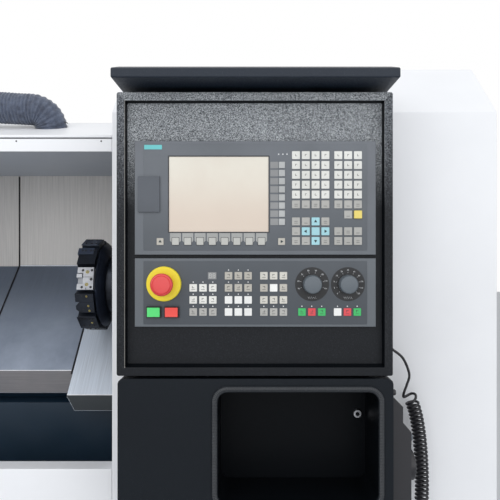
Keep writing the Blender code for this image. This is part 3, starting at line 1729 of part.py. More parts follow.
def make_upper_plate():
    back = HOUSING_FRONT + FIELD_DEPTH - GAP
    bottom = UPPER_TOP - UPPER_HEIGHT
    plate = box_piece(
        "upper_plate",
        (PLATE_LEFT, PLATE_FRONT, bottom),
        (PLATE_LEFT + PLATE_WIDTH, back, UPPER_TOP),
        "plate_grey",
    )
    keys = bmesh.new()
    for x, drop in upper_keys():
        plate_box(keys, x, drop, KEY_SIZE, KEY_SIZE, UPPER_TOP, KEY_PROUD)
    for k in range(SOFT_COUNT):
        plate_box(
            keys, SOFT_X, SOFT_DROP + k * SOFT_PITCH, SOFT_WIDTH, SOFT_HEIGHT, UPPER_TOP, KEY_PROUD
        )
        plate_box(
            keys, MENU_X + k * MENU_PITCH, MENU_DROP, MENU_WIDTH, MENU_HEIGHT, UPPER_TOP, KEY_PROUD
        )
    join(plate, link_piece("keys_tool", keys, None, tool=True))
    holes = bmesh.new()
    screen_x = SCREEN_LEFT + SCREEN_WIDTH / 2
    screen_drop = SCREEN_DROP + SCREEN_HEIGHT / 2
    plate_box(
        holes, screen_x, screen_drop, SCREEN_WIDTH, SCREEN_HEIGHT, UPPER_TOP, OVERRUN, SCREEN_DEPTH
    )
    reset_x = KEY_BLOCK2_X + 2 * KEY_PITCH
    reset_drop = KEY_FIRST_DROP + RESET_ROW_SHARE * KEY_ROW_PITCH
    hole = KEY_SIZE + 2 * GAP
    plate_box(holes, reset_x, reset_drop, hole, hole, UPPER_TOP, OVERRUN, OVERRUN)
    port_x = PORT_LEFT + PORT_WIDTH / 2
    port_drop = PORT_DROP + PORT_HEIGHT / 2
    port_width = PORT_WIDTH - 2 * PORT_MARGIN
    port_height = PORT_HEIGHT - 2 * PORT_MARGIN
    plate_box(holes, port_x, port_drop, port_width, port_height, UPPER_TOP, OVERRUN, PORT_DEPTH)
    cut(plate, link_piece("plate_cutter", holes, None, tool=True))
    glass = bmesh.new()
    inset = 2 * GAP
    plate_box(
        glass,
        screen_x,
        screen_drop,
        SCREEN_WIDTH - inset,
        SCREEN_HEIGHT - inset,
        UPPER_TOP,
        -EMBED,
        SCREEN_DEPTH - GAP,
    )
    link_piece("screen_glass", glass, "screen")
    key = bmesh.new()
    seat = back - PLATE_FRONT - 2 * EMBED
    plate_box(key, reset_x, reset_drop, KEY_SIZE, KEY_SIZE, UPPER_TOP, KEY_PROUD * 2, seat)
    link_piece("reset_key", key, "yellow_plastic")
    cover = bmesh.new()
    plate_box(cover, port_x, port_drop, PORT_WIDTH, PORT_HEIGHT, UPPER_TOP, PORT_PROUD, -GAP)
    port_cover = link_piece("port_cover", cover, "knob_grey")
    pivot(port_cover, (PLATE_LEFT + PORT_LEFT, PLATE_FRONT - PORT_PROUD, UPPER_TOP - port_drop))


def lower_keys():
    """(x, drop) of each small key on the lower plate."""
    found = []
    for first, skip in zip(PANEL_GROUP_X, PANEL_GROUP_SKIPS):
        for row in range(skip, PANEL_ROWS):
            for column in range(3):
                found.append((first + column * PANEL_PITCH, PANEL_DROP + row * PANEL_ROW_PITCH))
    last = PANEL_DROP + (PANEL_ROWS - 1) * PANEL_ROW_PITCH
    found += [(x, last) for x in COLOUR_KEY_X]
    return found


def make_lower_plate():
    back = HOUSING_FRONT + FIELD_DEPTH - GAP
    plate = box_piece(
        "lower_plate",
        (PLATE_LEFT, PLATE_FRONT, LOWER_TOP - LOWER_HEIGHT),
        (PLATE_LEFT + PLATE_WIDTH, back, LOWER_TOP),
        "plate_grey",
    )
    keys = bmesh.new()
    for x, drop in lower_keys():
        plate_box(keys, x, drop, PANEL_KEY, PANEL_KEY, LOWER_TOP, KEY_PROUD)
    plate_box(
        keys, DISPLAY_X, PANEL_DROP, DISPLAY_WIDTH, DISPLAY_HEIGHT, LOWER_TOP, KEY_PROUD / 2
    )
    for x in (START_X, STOP_X):
        plate_box(
            keys,
            x,
            BUTTON_DROP,
            BUTTON_WIDTH + 2 * BEZEL,
            BUTTON_HEIGHT + 2 * BEZEL,
            LOWER_TOP,
            BEZEL_PROUD,
        )
    join(plate, link_piece("panel_keys_tool", keys, None, tool=True))
    holes = bmesh.new()
    for x in (START_X, STOP_X):
        plate_box(
            holes,
            x,
            BUTTON_DROP,
            BUTTON_WIDTH + 2 * GAP,
            BUTTON_HEIGHT + 2 * GAP,
            LOWER_TOP,
            OVERRUN,
            OVERRUN,
        )
    cut(plate, link_piece("button_cutter", holes, None, tool=True))
    for name, x, finish in (
        ("start_button", START_X, "green_plastic"),
        ("stop_button", STOP_X, "red_plastic"),
    ):
        button = bmesh.new()
        plate_box(
            button,
            x,
            BUTTON_DROP,
            BUTTON_WIDTH,
            BUTTON_HEIGHT,
            LOWER_TOP,
            BUTTON_PROUD,
            BUTTON_SEAT,
        )
        link_piece(name, button, finish)


def make_estop():
    x, z = PLATE_LEFT + ESTOP_X, LOWER_TOP - ESTOP_DROP
    seat = PLATE_FRONT - GAP
    hole = ESTOP_STEM + GAP
    thick = ESTOP_COLLAR_THICK
    collar = [
        (hole, thick),
        (ESTOP_COLLAR - thick / 3, thick),
        (ESTOP_COLLAR, thick * 2 / 3),
        (ESTOP_COLLAR, 0),
        (hole, 0),
        (hole, thick),
    ]
    turned_piece("estop_collar", collar, (x, seat, z), 32, "yellow_plastic", "Y")
    height = seat - ESTOP_FRONT
    under = height - ESTOP_CAP
    edge = ESTOP_RADIUS / 5
    cap = [(0, height), (ESTOP_RADIUS - 2 * edge, height - edge / 4)]
    cap += [(ESTOP_RADIUS - edge / 2, height - edge), (ESTOP_RADIUS, height - 2 * edge)]
    cap += [(ESTOP_RADIUS * ESTOP_UNDER_SHARE, under), (ESTOP_STEM, under)]
    cap += [(ESTOP_STEM, thick - EMBED), (0, thick - EMBED)]
    turned_piece("estop_button", cap, (x, seat, z), 32, "red_plastic", "Y")


def make_dial_knobs():
    z = LOWER_TOP - DIAL_DROP
    height = DIAL_KNOB_HEIGHT
    for name, offset in (("feed_knob", FEED_X), ("speed_knob", SPEED_X)):
        profile = [
            (0, height),
            (DIAL_KNOB_RADIUS - DIAL_KNOB_EDGE, height),
            (DIAL_KNOB_RADIUS, height - DIAL_KNOB_EDGE),
            (DIAL_KNOB_RADIUS, 0),
            (0, 0),
        ]
        place = (PLATE_LEFT + offset, PLATE_FRONT - GAP, z)
        turned_piece(name, profile, place, 24, "knob_grey", "Y")


def make_lower_console():
    outline = rounded(CONSOLE_LEFT, CONSOLE_RIGHT, CONSOLE_BOTTOM, CONSOLE_TOP, CONSOLE_CORNER, 3)
    console = sheet_piece(
        "lower_console", outline, HOUSING_FRONT, FRONT - GAP, "hammertone", "Y"
    )
    rim = rounded(
        POCKET_LEFT - POCKET_RIM,
        POCKET_RIGHT + POCKET_RIM,
        POCKET_BOTTOM - POCKET_RIM,
        POCKET_TOP + POCKET_RIM,
        POCKET_CORNER + POCKET_RIM,
    )
    proud = HOUSING_FRONT - POCKET_RIM_PROUD
    rim_tool = sheet_piece(
        "rim_tool", rim, proud, HOUSING_FRONT + EMBED, None, "Y", tool=True
    )
    soften(rim_tool, POCKET_RIM_PROUD / 2)
    join(console, rim_tool)
    pocket = rounded(POCKET_LEFT, POCKET_RIGHT, POCKET_BOTTOM, POCKET_TOP, POCKET_CORNER)
    cut(
        console,
        sheet_piece(
            "pocket_cutter",
            pocket,
            proud - OVERRUN,
            HOUSING_FRONT + POCKET_DEPTH,
            None,
            "Y",
            tool=True,
        ),
    )
    more = bmesh.new()
    back = HOUSING_FRONT + POCKET_DEPTH
    add_drum(
        more,
        (SOCKET_X, back + EMBED, SOCKET_Z),
        (SOCKET_X, back - SOCKET_LENGTH, SOCKET_Z),
        SOCKET_RADIUS,
        16,
    )
    add_box(
        more,
        (CONSOLE_RIGHT - EMBED, HANDSET_FRONT, HOOK_BOTTOM),
        (CONSOLE_RIGHT + HOOK_PLATE, HANDSET_BACK, HOOK_TOP),
    )
    middle = (HANDSET_FRONT + HANDSET_BACK) / 2
    add_drum(
        more,
        (CONSOLE_RIGHT, middle, NUB_Z),
        (CONSOLE_RIGHT + NUB_LENGTH, middle, NUB_Z),
        NUB_RADIUS,
        12,
    )
    join(console, link_piece("socket_tool", more, None, tool=True))


def make_handset():
    left = CONSOLE_RIGHT + HOOK_PLATE + GAP
    top = NUB_Z - NUB_RADIUS - GAP - EMBED
    crest = min(HANDSET_TOP, top)
    outline = [
        (left, HANDSET_BOTTOM),
        (left + HANDSET_THICK, HANDSET_BOTTOM),
        (left + HANDSET_THICK, HANDSET_HIP),
        (left + HANDSET_THIN, HANDSET_WAIST),
        (left + HANDSET_THIN, HANDSET_SHOULDER),
        (left + HANDSET_CREST, crest),
        (left, crest),
    ]
    body = sheet_piece(
        "handset_body", outline, HANDSET_FRONT, HANDSET_BACK, "black_plastic", "Y"
    )
    middle = (HANDSET_FRONT + HANDSET_BACK) / 2
    relief_x = COIL_ROUTE[-1][0]
    relief = bmesh.new()
    add_drum(
        relief,
        (relief_x, middle, HANDSET_BOTTOM - RELIEF_LENGTH),
        (relief_x, middle, HANDSET_BOTTOM + EMBED),
        RELIEF_RADIUS * RELIEF_TIP_SHARE,
        12,
        RELIEF_RADIUS,
    )
    join(body, link_piece("relief_tool", relief, None, tool=True))
    face = left + HANDSET_THICK + GAP
    wheel_profile = [
        (0, WHEEL_THICK),
        (WHEEL_RADIUS - WHEEL_RIM, WHEEL_THICK),
        (WHEEL_RADIUS, WHEEL_THICK - WHEEL_RIM),
        (WHEEL_RADIUS, 0),
        (0, 0),
    ]
    wheel = turned_piece(
        "handset_wheel", wheel_profile, (face, middle, WHEEL_Z), 24, "black_plastic", "X"
    )
    dimple = drum_piece(
        "dimple_cutter",
        (face + WHEEL_THICK - DIMPLE_DEPTH, middle, WHEEL_Z + WHEEL_RADIUS / 2),
        (face + WHEEL_THICK + OVERRUN, middle, WHEEL_Z + WHEEL_RADIUS / 2),
        DIMPLE_RADIUS,
        10,
        None,
        tool=True,
    )
    cut(wheel, dimple)
    selector_profile = [
        (0, SELECTOR_HEIGHT),
        (SELECTOR_RADIUS * SELECTOR_TIP_SHARE, SELECTOR_HEIGHT),
        (SELECTOR_RADIUS, 0),
        (0, 0),
    ]
    turned_piece(
        "handset_selector", selector_profile, (face, middle, SELECTOR_Z), 12, "black_plastic", "X"
    )


def make_cord():
    lead = smooth_route(LEAD_ROUTE, LEAD_RADIUS * 5)
    curve_piece("cord_lead", lead, LEAD_RADIUS, "black_rubber", 2)
    coil = smooth_route(COIL_ROUTE, COIL_RADIUS * 2)
    curve_piece("cord_coil", coil, COIL_RADIUS, "black_rubber", 3)


def main():
    axis = make_frame("spindle_axis", (0, SPINDLE_Y, SPINDLE_Z))
    slope = make_frame("bed_slope", (0, SPINDLE_Y, SPINDLE_Z), SLOPE)
    turret_y, turret_z = bed_place(TURRET_UP, 0)
    turret = make_frame("turret_axis", (0, turret_y, turret_z))
    make_base()
    make_chip_tray()
    make_bed(slope)
    make_rails(slope)
    make_z_drive(slope)
    make_way_covers()
    make_carriage(slope)
    make_carriage_cover(slope)
    make_cross_slide(slope)
    make_x_drive(slope)
    make_turret_housing(slope)
    make_turret_disc(turret)
    make_turning_holder(turret)
    make_drill_holder(turret)
    make_boring_holder(turret)
    make_headstock(slope)
    make_spindle(axis)
    make_chuck(axis)
    make_spindle_motor(axis)
    make_left_cover()
    make_right_cover()
    make_roof()
    make_front_panel()
    make_rear_cover()
    make_door()
    make_duct()
    make_housing()
    make_visor()
    make_upper_plate()
    make_lower_plate()
    make_estop()
    make_dial_knobs()
    make_lower_console()
    make_handset()
    make_cord()


clear_scene()
PARTS, CUTTERS = make_collections()
main()
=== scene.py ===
"""Looks of the turning lathe: finishes, operator console, tooling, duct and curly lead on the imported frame."""

from __future__ import annotations

import json
import logging
import math
from dataclasses import dataclass
from enum import Enum
from typing import Callable, Iterable, Sequence

import bmesh
import bpy
from mathutils import Matrix, Vector, noise
from mathutils.geometry import interpolate_bezier

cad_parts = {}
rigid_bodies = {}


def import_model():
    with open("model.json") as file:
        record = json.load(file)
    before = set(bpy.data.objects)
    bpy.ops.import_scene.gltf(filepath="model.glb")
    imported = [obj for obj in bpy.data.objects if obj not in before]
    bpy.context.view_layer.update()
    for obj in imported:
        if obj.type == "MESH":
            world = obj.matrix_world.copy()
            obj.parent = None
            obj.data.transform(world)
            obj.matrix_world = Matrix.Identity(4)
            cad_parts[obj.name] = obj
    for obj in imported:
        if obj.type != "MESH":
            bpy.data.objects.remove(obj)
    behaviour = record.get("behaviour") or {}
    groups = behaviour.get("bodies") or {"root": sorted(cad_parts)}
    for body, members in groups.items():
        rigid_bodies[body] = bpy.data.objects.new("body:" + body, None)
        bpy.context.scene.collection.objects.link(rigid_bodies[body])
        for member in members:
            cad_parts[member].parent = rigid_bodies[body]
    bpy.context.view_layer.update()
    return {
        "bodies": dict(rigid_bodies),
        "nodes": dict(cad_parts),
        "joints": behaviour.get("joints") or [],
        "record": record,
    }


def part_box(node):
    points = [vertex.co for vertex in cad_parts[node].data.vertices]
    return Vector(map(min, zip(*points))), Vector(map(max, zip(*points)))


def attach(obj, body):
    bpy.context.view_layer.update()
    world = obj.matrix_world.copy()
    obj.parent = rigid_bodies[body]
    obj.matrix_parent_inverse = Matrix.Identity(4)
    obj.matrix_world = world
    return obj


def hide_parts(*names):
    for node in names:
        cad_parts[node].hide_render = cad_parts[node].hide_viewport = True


LOG = logging.getLogger("turning_lathe")

Point = Sequence[float]
Test = Callable[[Vector, Vector], bool]

GAP = 0.0003
MERGE = 0.00001
FACING = 0.99
ALONG = 0.9
KEY_PROUD = 0.0016
PRINT_LOW = 0.00015
PATTERN_LOW, PATTERN_HIGH = 0.3, 0.7
SMOOTH_ANGLE = math.radians(32)


class Body(Enum):
    """The CAD bodies that dressed pieces ride on."""

    FRAME = "frame"
    DOOR = "door"
    CARRIAGE = "carriage"
    LEFT_SLIDER = "left_telescopic_cover"
    RIGHT_SLIDER = "right_telescopic_cover"
    CROSS_SLIDE = "cross_slide"
    TURRET = "turret"
    SPINDLE = "spindle"
    ESTOP = "estop_button"
    START = "start_button"
    STOP = "stop_button"
    RESET = "reset_key"
    FEED = "feed_knob"
    SPEED = "speed_knob"
    PORT = "port_cover"
    WHEEL = "handset_wheel"
    SELECTOR = "handset_selector"
    CABINET = "cabinet_door"
    TRAY = "chip_tray"


def shade(colour: Sequence[int]) -> tuple[float, float, float, float]:
    """Turns a colour in 0 to 255 sRGB into the linear colour that a shader takes.

    Args:
        colour: Red, green and blue as a picture shows them.

    Returns:
        Linear red, green, blue and alpha.
    """
    found = []
    for value in colour:
        part = value / 255
        found.append(part / 12.92 if part <= 0.04045 else ((part + 0.055) / 1.055) ** 2.4)
    return (*found, 1.0)


class Graph:
    """One material's node tree, with short calls that add and join nodes."""

    def __init__(self, name: str) -> None:
        """Starts a material of that name with a Principled shader and object coordinates."""
        self.material = bpy.data.materials.new(name)
        self.material.use_nodes = True
        self.tree = self.material.node_tree
        self.shader = self.tree.nodes["Principled BSDF"]
        self.place = self.tree.nodes.new("ShaderNodeTexCoord").outputs["Object"]

    def link(self, source: bpy.types.NodeSocket, target: bpy.types.NodeSocket) -> None:
        """Joins an output to an input."""
        self.tree.links.new(source, target)

    def set(self, **values: float) -> None:
        """Sets constants on the shader, with underscores for the spaces in a socket's name."""
        for name, value in values.items():
            self.shader.inputs[name.replace("_", " ")].default_value = value

    def add(self, kind: str, **inputs: object) -> bpy.types.Node:
        """Adds a node and fills its inputs, with underscores for the spaces in their names.

        Args:
            kind: The node's type, without its first word.
            inputs: A constant or another node's output for each input.

        Returns:
            The node.
        """
        node = self.tree.nodes.new(f"ShaderNode{kind}")
        for name, value in inputs.items():
            target = node.inputs[name.replace("_", " ")]
            if isinstance(value, bpy.types.NodeSocket):
                self.link(value, target)
            else:
                target.default_value = value
        return node

    def noise(
        self, scale: float, detail: float = 3, stretch: Point = (1, 1, 1), rough: float = 0.55
    ) -> bpy.types.NodeSocket:
        """Adds a noise pattern in the row frame.

        Args:
            scale: How many features there are to a metre.
            detail: How many finer layers are added.
            stretch: How the pattern is stretched along X, Y and Z; below 1 is longer.
            rough: How strong the finer layers are.

        Returns:
            The pattern's value, from 0 to 1.
        """
        place = self.add("Mapping", Vector=self.place, Scale=stretch).outputs["Vector"]
        return self.add("TexNoise", Vector=place, Scale=scale, Detail=detail, Roughness=rough).outputs["Fac"]

    def ramp(
        self, value: bpy.types.NodeSocket, stops: Iterable[tuple[float, Sequence[float]]]
    ) -> bpy.types.NodeSocket:
        """Turns a value into a colour by a ramp of (place, colour) stops."""
        node = self.add("ValToRGB", Fac=value)
        listed = list(stops)
        while len(node.color_ramp.elements) < len(listed):
            node.color_ramp.elements.new(0.5)
        for element, (place, colour) in zip(node.color_ramp.elements, listed):
            element.position = place
            element.color = colour
        return node.outputs["Color"]

    def spread(self, value: bpy.types.NodeSocket, low: float, high: float) -> bpy.types.NodeSocket:
        """Spreads a pattern's middle over low to high."""
        node = self.add(
            "MapRange", Value=value, From_Min=PATTERN_LOW, From_Max=PATTERN_HIGH, To_Min=low, To_Max=high
        )
        return node.outputs["Result"]

    def height(self, low: float, high: float) -> bpy.types.NodeSocket:
        """How far up a point lies between two levels, from 0 to 1."""
        level = self.add("SeparateXYZ", Vector=self.place).outputs["Z"]
        node = self.add("MapRange", Value=level, From_Min=low, From_Max=high)
        node.interpolation_type = "SMOOTHSTEP"
        return node.outputs["Result"]

    def mix(
        self, share: bpy.types.NodeSocket, first: bpy.types.NodeSocket, second: Sequence[float] | bpy.types.NodeSocket
    ) -> bpy.types.NodeSocket:
        """Mixes a share of a second colour, or of its pattern, over a first one."""
        return self.add("MixRGB", Fac=share, Color1=first, Color2=second).outputs["Color"]

    def bump(self, height: bpy.types.NodeSocket, strength: float, depth: float) -> None:
        """Raises the surface by a pattern, to a depth in metres."""
        node = self.add("Bump", Strength=strength, Distance=depth, Height=height)
        self.link(node.outputs["Normal"], self.shader.inputs["Normal"])

    def colour(self, socket: bpy.types.NodeSocket) -> None:
        """Takes that pattern as the surface's colour."""
        self.link(socket, self.shader.inputs["Base Color"])

    def roughness(self, socket: bpy.types.NodeSocket) -> None:
        """Takes that pattern as the surface's roughness."""
        self.link(socket, self.shader.inputs["Roughness"])


def toned(colour: Sequence[int], factor: float) -> tuple[int, ...]:
    """A darker or lighter version of a colour."""
    return tuple(min(255, round(value * factor)) for value in colour)


@dataclass(frozen=True)
class Finish:
    """A named finish with its colour as a picture shows it."""

    name: str
    colour: tuple[int, int, int]

    def build(self, graph: Graph) -> None:
        """Adds the finish's own nodes."""
        raise NotImplementedError

    def material(self) -> bpy.types.Material:
        """The finish's material, made the first time it is asked for."""
        found = bpy.data.materials.get(self.name)
        if found is None:
            graph = Graph(self.name)
            self.build(graph)
            found = graph.material
        return found


@dataclass(frozen=True)
class Enamel(Finish):
    """Sprayed paint on sheet or casting: faint peel, a little dust and uneven gloss."""

    roughness: float = 0.35
    peel: float = 0.15
    grain: float = 260
    dust: float = 0.93

    def build(self, graph: Graph) -> None:
        """Adds tone, gloss and peel."""
        tone = graph.noise(2.2, 5)
        dark = shade(toned(self.colour, self.dust))
        graph.colour(graph.ramp(tone, ((0.35, dark), (0.6, shade(self.colour)))))
        graph.roughness(graph.spread(graph.noise(9, 4), self.roughness - 0.06, self.roughness + 0.09))
        graph.bump(graph.noise(self.grain, 2), self.peel, 0.0004)


@dataclass(frozen=True)
class SpecklePaint(Finish):
    """Black textured paint with raised light specks; a named top colour paints a sheen of reflected light that grows
    towards its top.
    """

    speck: tuple[int, int, int] = (150, 152, 154)
    grain: float = 620
    density: float = 0.60
    specular: float = 0.2
    # The top colours are a painted sheen: reflected light laid into the colour between the two levels.
    top: tuple[int, int, int] | None = None
    sheen_speck: tuple[int, int, int] = (178, 182, 186)
    levels: tuple[float, float] = (1.36, 1.50)

    def build(self, graph: Graph) -> None:
        """Adds specks, their relief, the gloss between them and any painted sheen towards the top."""
        cells = graph.noise(self.grain, 2.5, rough=0.7)
        stops = ((self.density - 0.06, shade(self.colour)), (self.density + 0.08, shade(self.speck)))
        tone = graph.ramp(cells, stops)
        # Painted sheen: a paler tone and brighter specks towards the top stand for reflected light.
        if self.top:
            sheen_stops = ((0.40, shade(toned(self.top, 0.5))), (0.5, shade(self.top)), (0.61, shade(self.sheen_speck)))
            tone = graph.mix(graph.height(*self.levels), tone, graph.ramp(cells, sheen_stops))
        patches = graph.spread(graph.noise(5, 3), 0.0, 0.25)
        graph.colour(graph.mix(patches, tone, shade(toned(self.colour, 0.8))))
        graph.roughness(graph.spread(cells, 0.5, 0.28))
        graph.set(Specular_IOR_Level=self.specular)
        graph.bump(cells, 0.5, 0.0006)


@dataclass(frozen=True)
class BrushedSheet(Finish):
    """Stainless sheet brushed along one axis, with soft smears."""

    along: str = "X"
    roughness: float = 0.34
    metallic: float = 0.75
    smear: tuple[int, int, int] = (120, 122, 128)
    foot: tuple[int, int, int] | None = None
    levels: tuple[float, float] = (1.24, 1.02)

    def build(self, graph: Graph) -> None:
        """Adds brush lines, smears and a fine relief, and, where a foot colour is named, a painted reflection that
        makes the sheet paler towards its foot.
        """
        stretch = [1.0, 1.0, 1.0]
        for axis in self.along:
            stretch["XYZ".index(axis)] = 0.02
        lines = graph.noise(420, 3, tuple(stretch))
        tone = graph.ramp(lines, ((0.3, shade(toned(self.colour, 0.86))), (0.7, shade(self.colour))))
        # Painted reflection: the foot colour brightens the sheet between the two levels.
        if self.foot:
            tone = graph.mix(graph.height(*self.levels), tone, shade(self.foot))
        smears = graph.spread(graph.noise(4.5, 5, rough=0.65), 0.0, 0.75)
        graph.colour(graph.mix(smears, tone, shade(self.smear)))
        graph.roughness(graph.spread(lines, self.roughness - 0.08, self.roughness + 0.1))
        graph.set(Metallic=self.metallic)
        graph.bump(lines, 0.12, 0.0002)


@dataclass(frozen=True)
class CutMetal(Finish):
    """Machined or blackened metal with oil marks."""

    roughness: float = 0.3
    metallic: float = 0.9
    mark: float = 0.7

    def build(self, graph: Graph) -> None:
        """Adds fine cutter grain and oil marks."""
        grain = graph.noise(700, 2, (0.05, 1, 1))
        marks = graph.noise(28, 5, rough=0.7)
        dark = shade(toned(self.colour, self.mark))
        tone = graph.ramp(marks, ((0.38, dark), (0.62, shade(self.colour))))
        graph.colour(tone)
        graph.roughness(graph.spread(marks, self.roughness + 0.12, self.roughness - 0.06))
        graph.set(Metallic=self.metallic)
        graph.bump(grain, 0.08, 0.0002)


@dataclass(frozen=True)
class Moulded(Finish):
    """Moulded plastic, printed foil or rubber with a fine grain."""

    roughness: float = 0.45
    grain: float = 900
    relief: float = 0.12
    gloss: float = 0.0
    cloud: float = 0.94
    foot: tuple[int, int, int] | None = None

    def build(self, graph: Graph) -> None:
        """Adds grain, faint clouding, any clear coat and any painted shade towards the foot."""
        clouds = graph.noise(14, 4)
        tone = graph.ramp(clouds, ((0.35, shade(toned(self.colour, self.cloud))), (0.65, shade(self.colour))))
        # Painted shade: a foot colour darkens the piece towards its bottom, where less light falls.
        if self.foot:
            tone = graph.mix(graph.height(1.49, 1.17), tone, shade(self.foot))
        graph.colour(tone)
        graph.roughness(graph.spread(clouds, self.roughness + 0.05, self.roughness - 0.05))
        graph.set(Coat_Weight=self.gloss, Coat_Roughness=0.12)
        graph.bump(graph.noise(self.grain, 2), self.relief, 0.0002)


@dataclass(frozen=True)
class DuctCloth(Finish):
    """Coated cloth drawn over a wire coil."""

    # fold is a painted shade colour for the hollows of the crumples.
    fold: tuple[int, int, int] = (40, 43, 56)

    def build(self, graph: Graph) -> None:
        """Adds threads, a tone painted darker in the crumples' hollows as painted shade, and a dull sheen."""
        crumple = graph.noise(60, 6, rough=0.7)
        threads = graph.noise(1500, 2)
        # Painted shade: the pattern that lowers the surface also darkens it towards the fold colour.
        tone = graph.ramp(crumple, ((0.34, shade(self.fold)), (0.66, shade(self.colour))))
        graph.colour(graph.mix(graph.spread(threads, 0.0, 0.3), tone, shade(toned(self.colour, 1.3))))
        graph.roughness(graph.spread(crumple, 0.78, 0.5))
        graph.set(Sheen_Weight=0.25)
        graph.bump(crumple, 0.5, 0.0025)


@dataclass(frozen=True)
class ScreenFilm(Finish):
    """Screen that is off: a pale warm film with a soft drift of tone."""

    low: tuple[int, int, int] = (213, 197, 181)

    def build(self, graph: Graph) -> None:
        """Adds the drift of tone, from the pale top to the warmer middle."""
        tone = graph.ramp(graph.height(1.34, 1.46), ((0.0, shade(self.low)), (1.0, shade(self.colour))))
        drift = graph.spread(graph.noise(11, 3), 0.0, 0.35)
        graph.colour(graph.mix(drift, tone, shade(toned(self.low, 0.97))))
        graph.roughness(graph.spread(graph.noise(40, 2), 0.16, 0.24))
        graph.set(Coat_Weight=0.6, Coat_Roughness=0.04)


@dataclass(frozen=True)
class ClearPane(Finish):
    """Laminated window."""

    def build(self, graph: Graph) -> None:
        """Adds clear glass with faint wipe marks."""
        stops = ((0.3, shade(toned(self.colour, 0.95))), (0.7, shade(self.colour)))
        graph.colour(graph.ramp(graph.noise(6, 3), stops))
        graph.roughness(graph.spread(graph.noise(12, 5), 0.03, 0.09))
        graph.set(Transmission_Weight=0.85, IOR=1.45)


WHITE = Enamel("white_enamel", (243, 244, 247), 0.38, 0.08, dust=0.97)
CASTING = Enamel("casting_paint", (24, 47, 66), 0.42, 0.3, 120, 0.85)
PLINTH = Enamel("plinth_paint", (58, 66, 76), 0.45, 0.2, 180, 0.9)
LINER = Enamel("liner_grey", (198, 203, 210), 0.5, 0.1, 260, 0.95)
# The housing's top colours are a painted sheen of reflected light on the upper field.
HAMMERTONE = SpecklePaint(
    "hammertone_black", (18, 21, 26), (44, 48, 54), 880, 0.62, top=(126, 131, 137), sheen_speck=(212, 216, 219)
)
# Copy of the housing paint for the rims, whose top colours and levels paint their own sheen of reflected light.
RIM_PAINT = SpecklePaint(
    "rim_black",
    (17, 20, 25),
    (62, 66, 72),
    820,
    0.6,
    top=(78, 83, 90),
    sheen_speck=(168, 172, 178),
    levels=(1.34, 1.58),
)
# Light colour for the rim's inner edge: a painted highlight.
RIM_EDGE_HIGHLIGHT = Moulded("rim_edge", (132, 130, 126), 0.5, 900, 0.2)
VISOR_PAINT = SpecklePaint("visor_black", (29, 38, 50), (66, 74, 86), 500, 0.64, 0.3)
TEXTURED = SpecklePaint("textured_black", (20, 25, 31), (32, 38, 45), 700, 0.62, 0.15)
# Near-black copy of the textured paint for the insides of recesses: painted shade.
POCKET_SHADE = SpecklePaint("pocket_black", (9, 12, 16), (16, 20, 25), 700, 0.62, 0.08)
WALL_SHEET = BrushedSheet("wall_sheet", (226, 222, 218), "Z", 0.45, 0.15, (204, 201, 198))
# The slope sheet's pale foot colour is a painted reflection.
SLOPE_SHEET = BrushedSheet("slope_sheet", (112, 120, 130), "YZ", 0.4, 0.35, (128, 138, 156), (188, 198, 214))
SHIELD_SHEET = BrushedSheet("shield_sheet", (232, 240, 250), "YZ", 0.4, 0.2, (210, 220, 234))
# Dark colour for the shield's front faces: painted shade.
SKIRT_SHADE = Enamel("skirt_dark", (40, 47, 52), 0.5, 0.1)
# Bright colour for the rounded folds of the sheets: painted highlight.
FOLD_HIGHLIGHT = CutMetal("fold_edge", (236, 238, 242), 0.4, 0.2, 0.95)
# Dark colour for the sheets' rounded end edges: painted shadow.
EDGE_SHADE = Moulded("seam_dark", (18, 22, 30), 0.6, 900, 0.1)
# Colour that the slope sheets' apron faces get by their facing: painted reflection.
APRON_SHEET = BrushedSheet("apron_sheet", (142, 138, 140), "X", 0.4, 0.25, (108, 110, 116))
GROUND = CutMetal("ground_steel", (196, 198, 202), 0.24, 0.95, 0.85)
BLACKENED = CutMetal("blackened_steel", (36, 42, 53), 0.36, 0.5, 0.7)
BLUED = CutMetal("blued_steel", (74, 84, 104), 0.36, 0.5, 0.8)
DISC_STEEL = CutMetal("disc_steel", (52, 60, 78), 0.42, 0.55, 0.75)
SILVER = CutMetal("nickelled_block", (178, 180, 185), 0.45, 0.3, 0.93)
# Darker copy of the nickelled finish for the notch floor: painted shade.
NOTCH_SHADE_SILVER = CutMetal("nickelled_floor", (146, 148, 153), 0.5, 0.3, 0.9)
BRASS = CutMetal("brass", (206, 192, 128), 0.35, 0.6, 0.8)
MOTOR = Enamel("motor_black", (34, 36, 40), 0.4, 0.15)
# The foil and strip foot colours darken the plates towards their bottom: painted shade.
FOIL = Moulded("plate_foil", (102, 107, 114), 0.42, 700, 0.1, foot=(62, 68, 75))
STRIP = Moulded("plate_strip", (106, 111, 118), 0.4, 700, 0.1, foot=(92, 98, 104))
LIGHT_KEY = Moulded("light_key", (232, 232, 227), 0.5, 1100, 0.08)
BEIGE_KEY = Moulded("beige_key", (190, 186, 177), 0.5, 1100, 0.08)
CREAM_KEY = Moulded("cream_key", (215, 212, 203), 0.5, 1100, 0.08)
GREY_KEY = Moulded("grey_key", (180, 179, 175), 0.5, 1100, 0.08)
WHITE_KEY = Moulded("white_key", (244, 244, 242), 0.45, 1100, 0.06)
SOFT_KEY = Moulded("soft_key", (180, 182, 182), 0.5, 1100, 0.08)
MENU_KEY = Moulded("menu_key", (190, 190, 185), 0.5, 1100, 0.08)
SOFT_WELL = Moulded("soft_well", (142, 143, 144), 0.5, 900, 0.08)
MENU_TAB = Moulded("menu_tab", (164, 165, 163), 0.5, 900, 0.08)
BEZEL = Moulded("screen_bezel", (48, 49, 54), 0.5, 900, 0.06)
CYAN_KEY = Moulded("cyan_key", (168, 218, 228), 0.45, 1100, 0.06)
YELLOW_KEY = Moulded("yellow_key", (236, 214, 112), 0.42, 1100, 0.06)
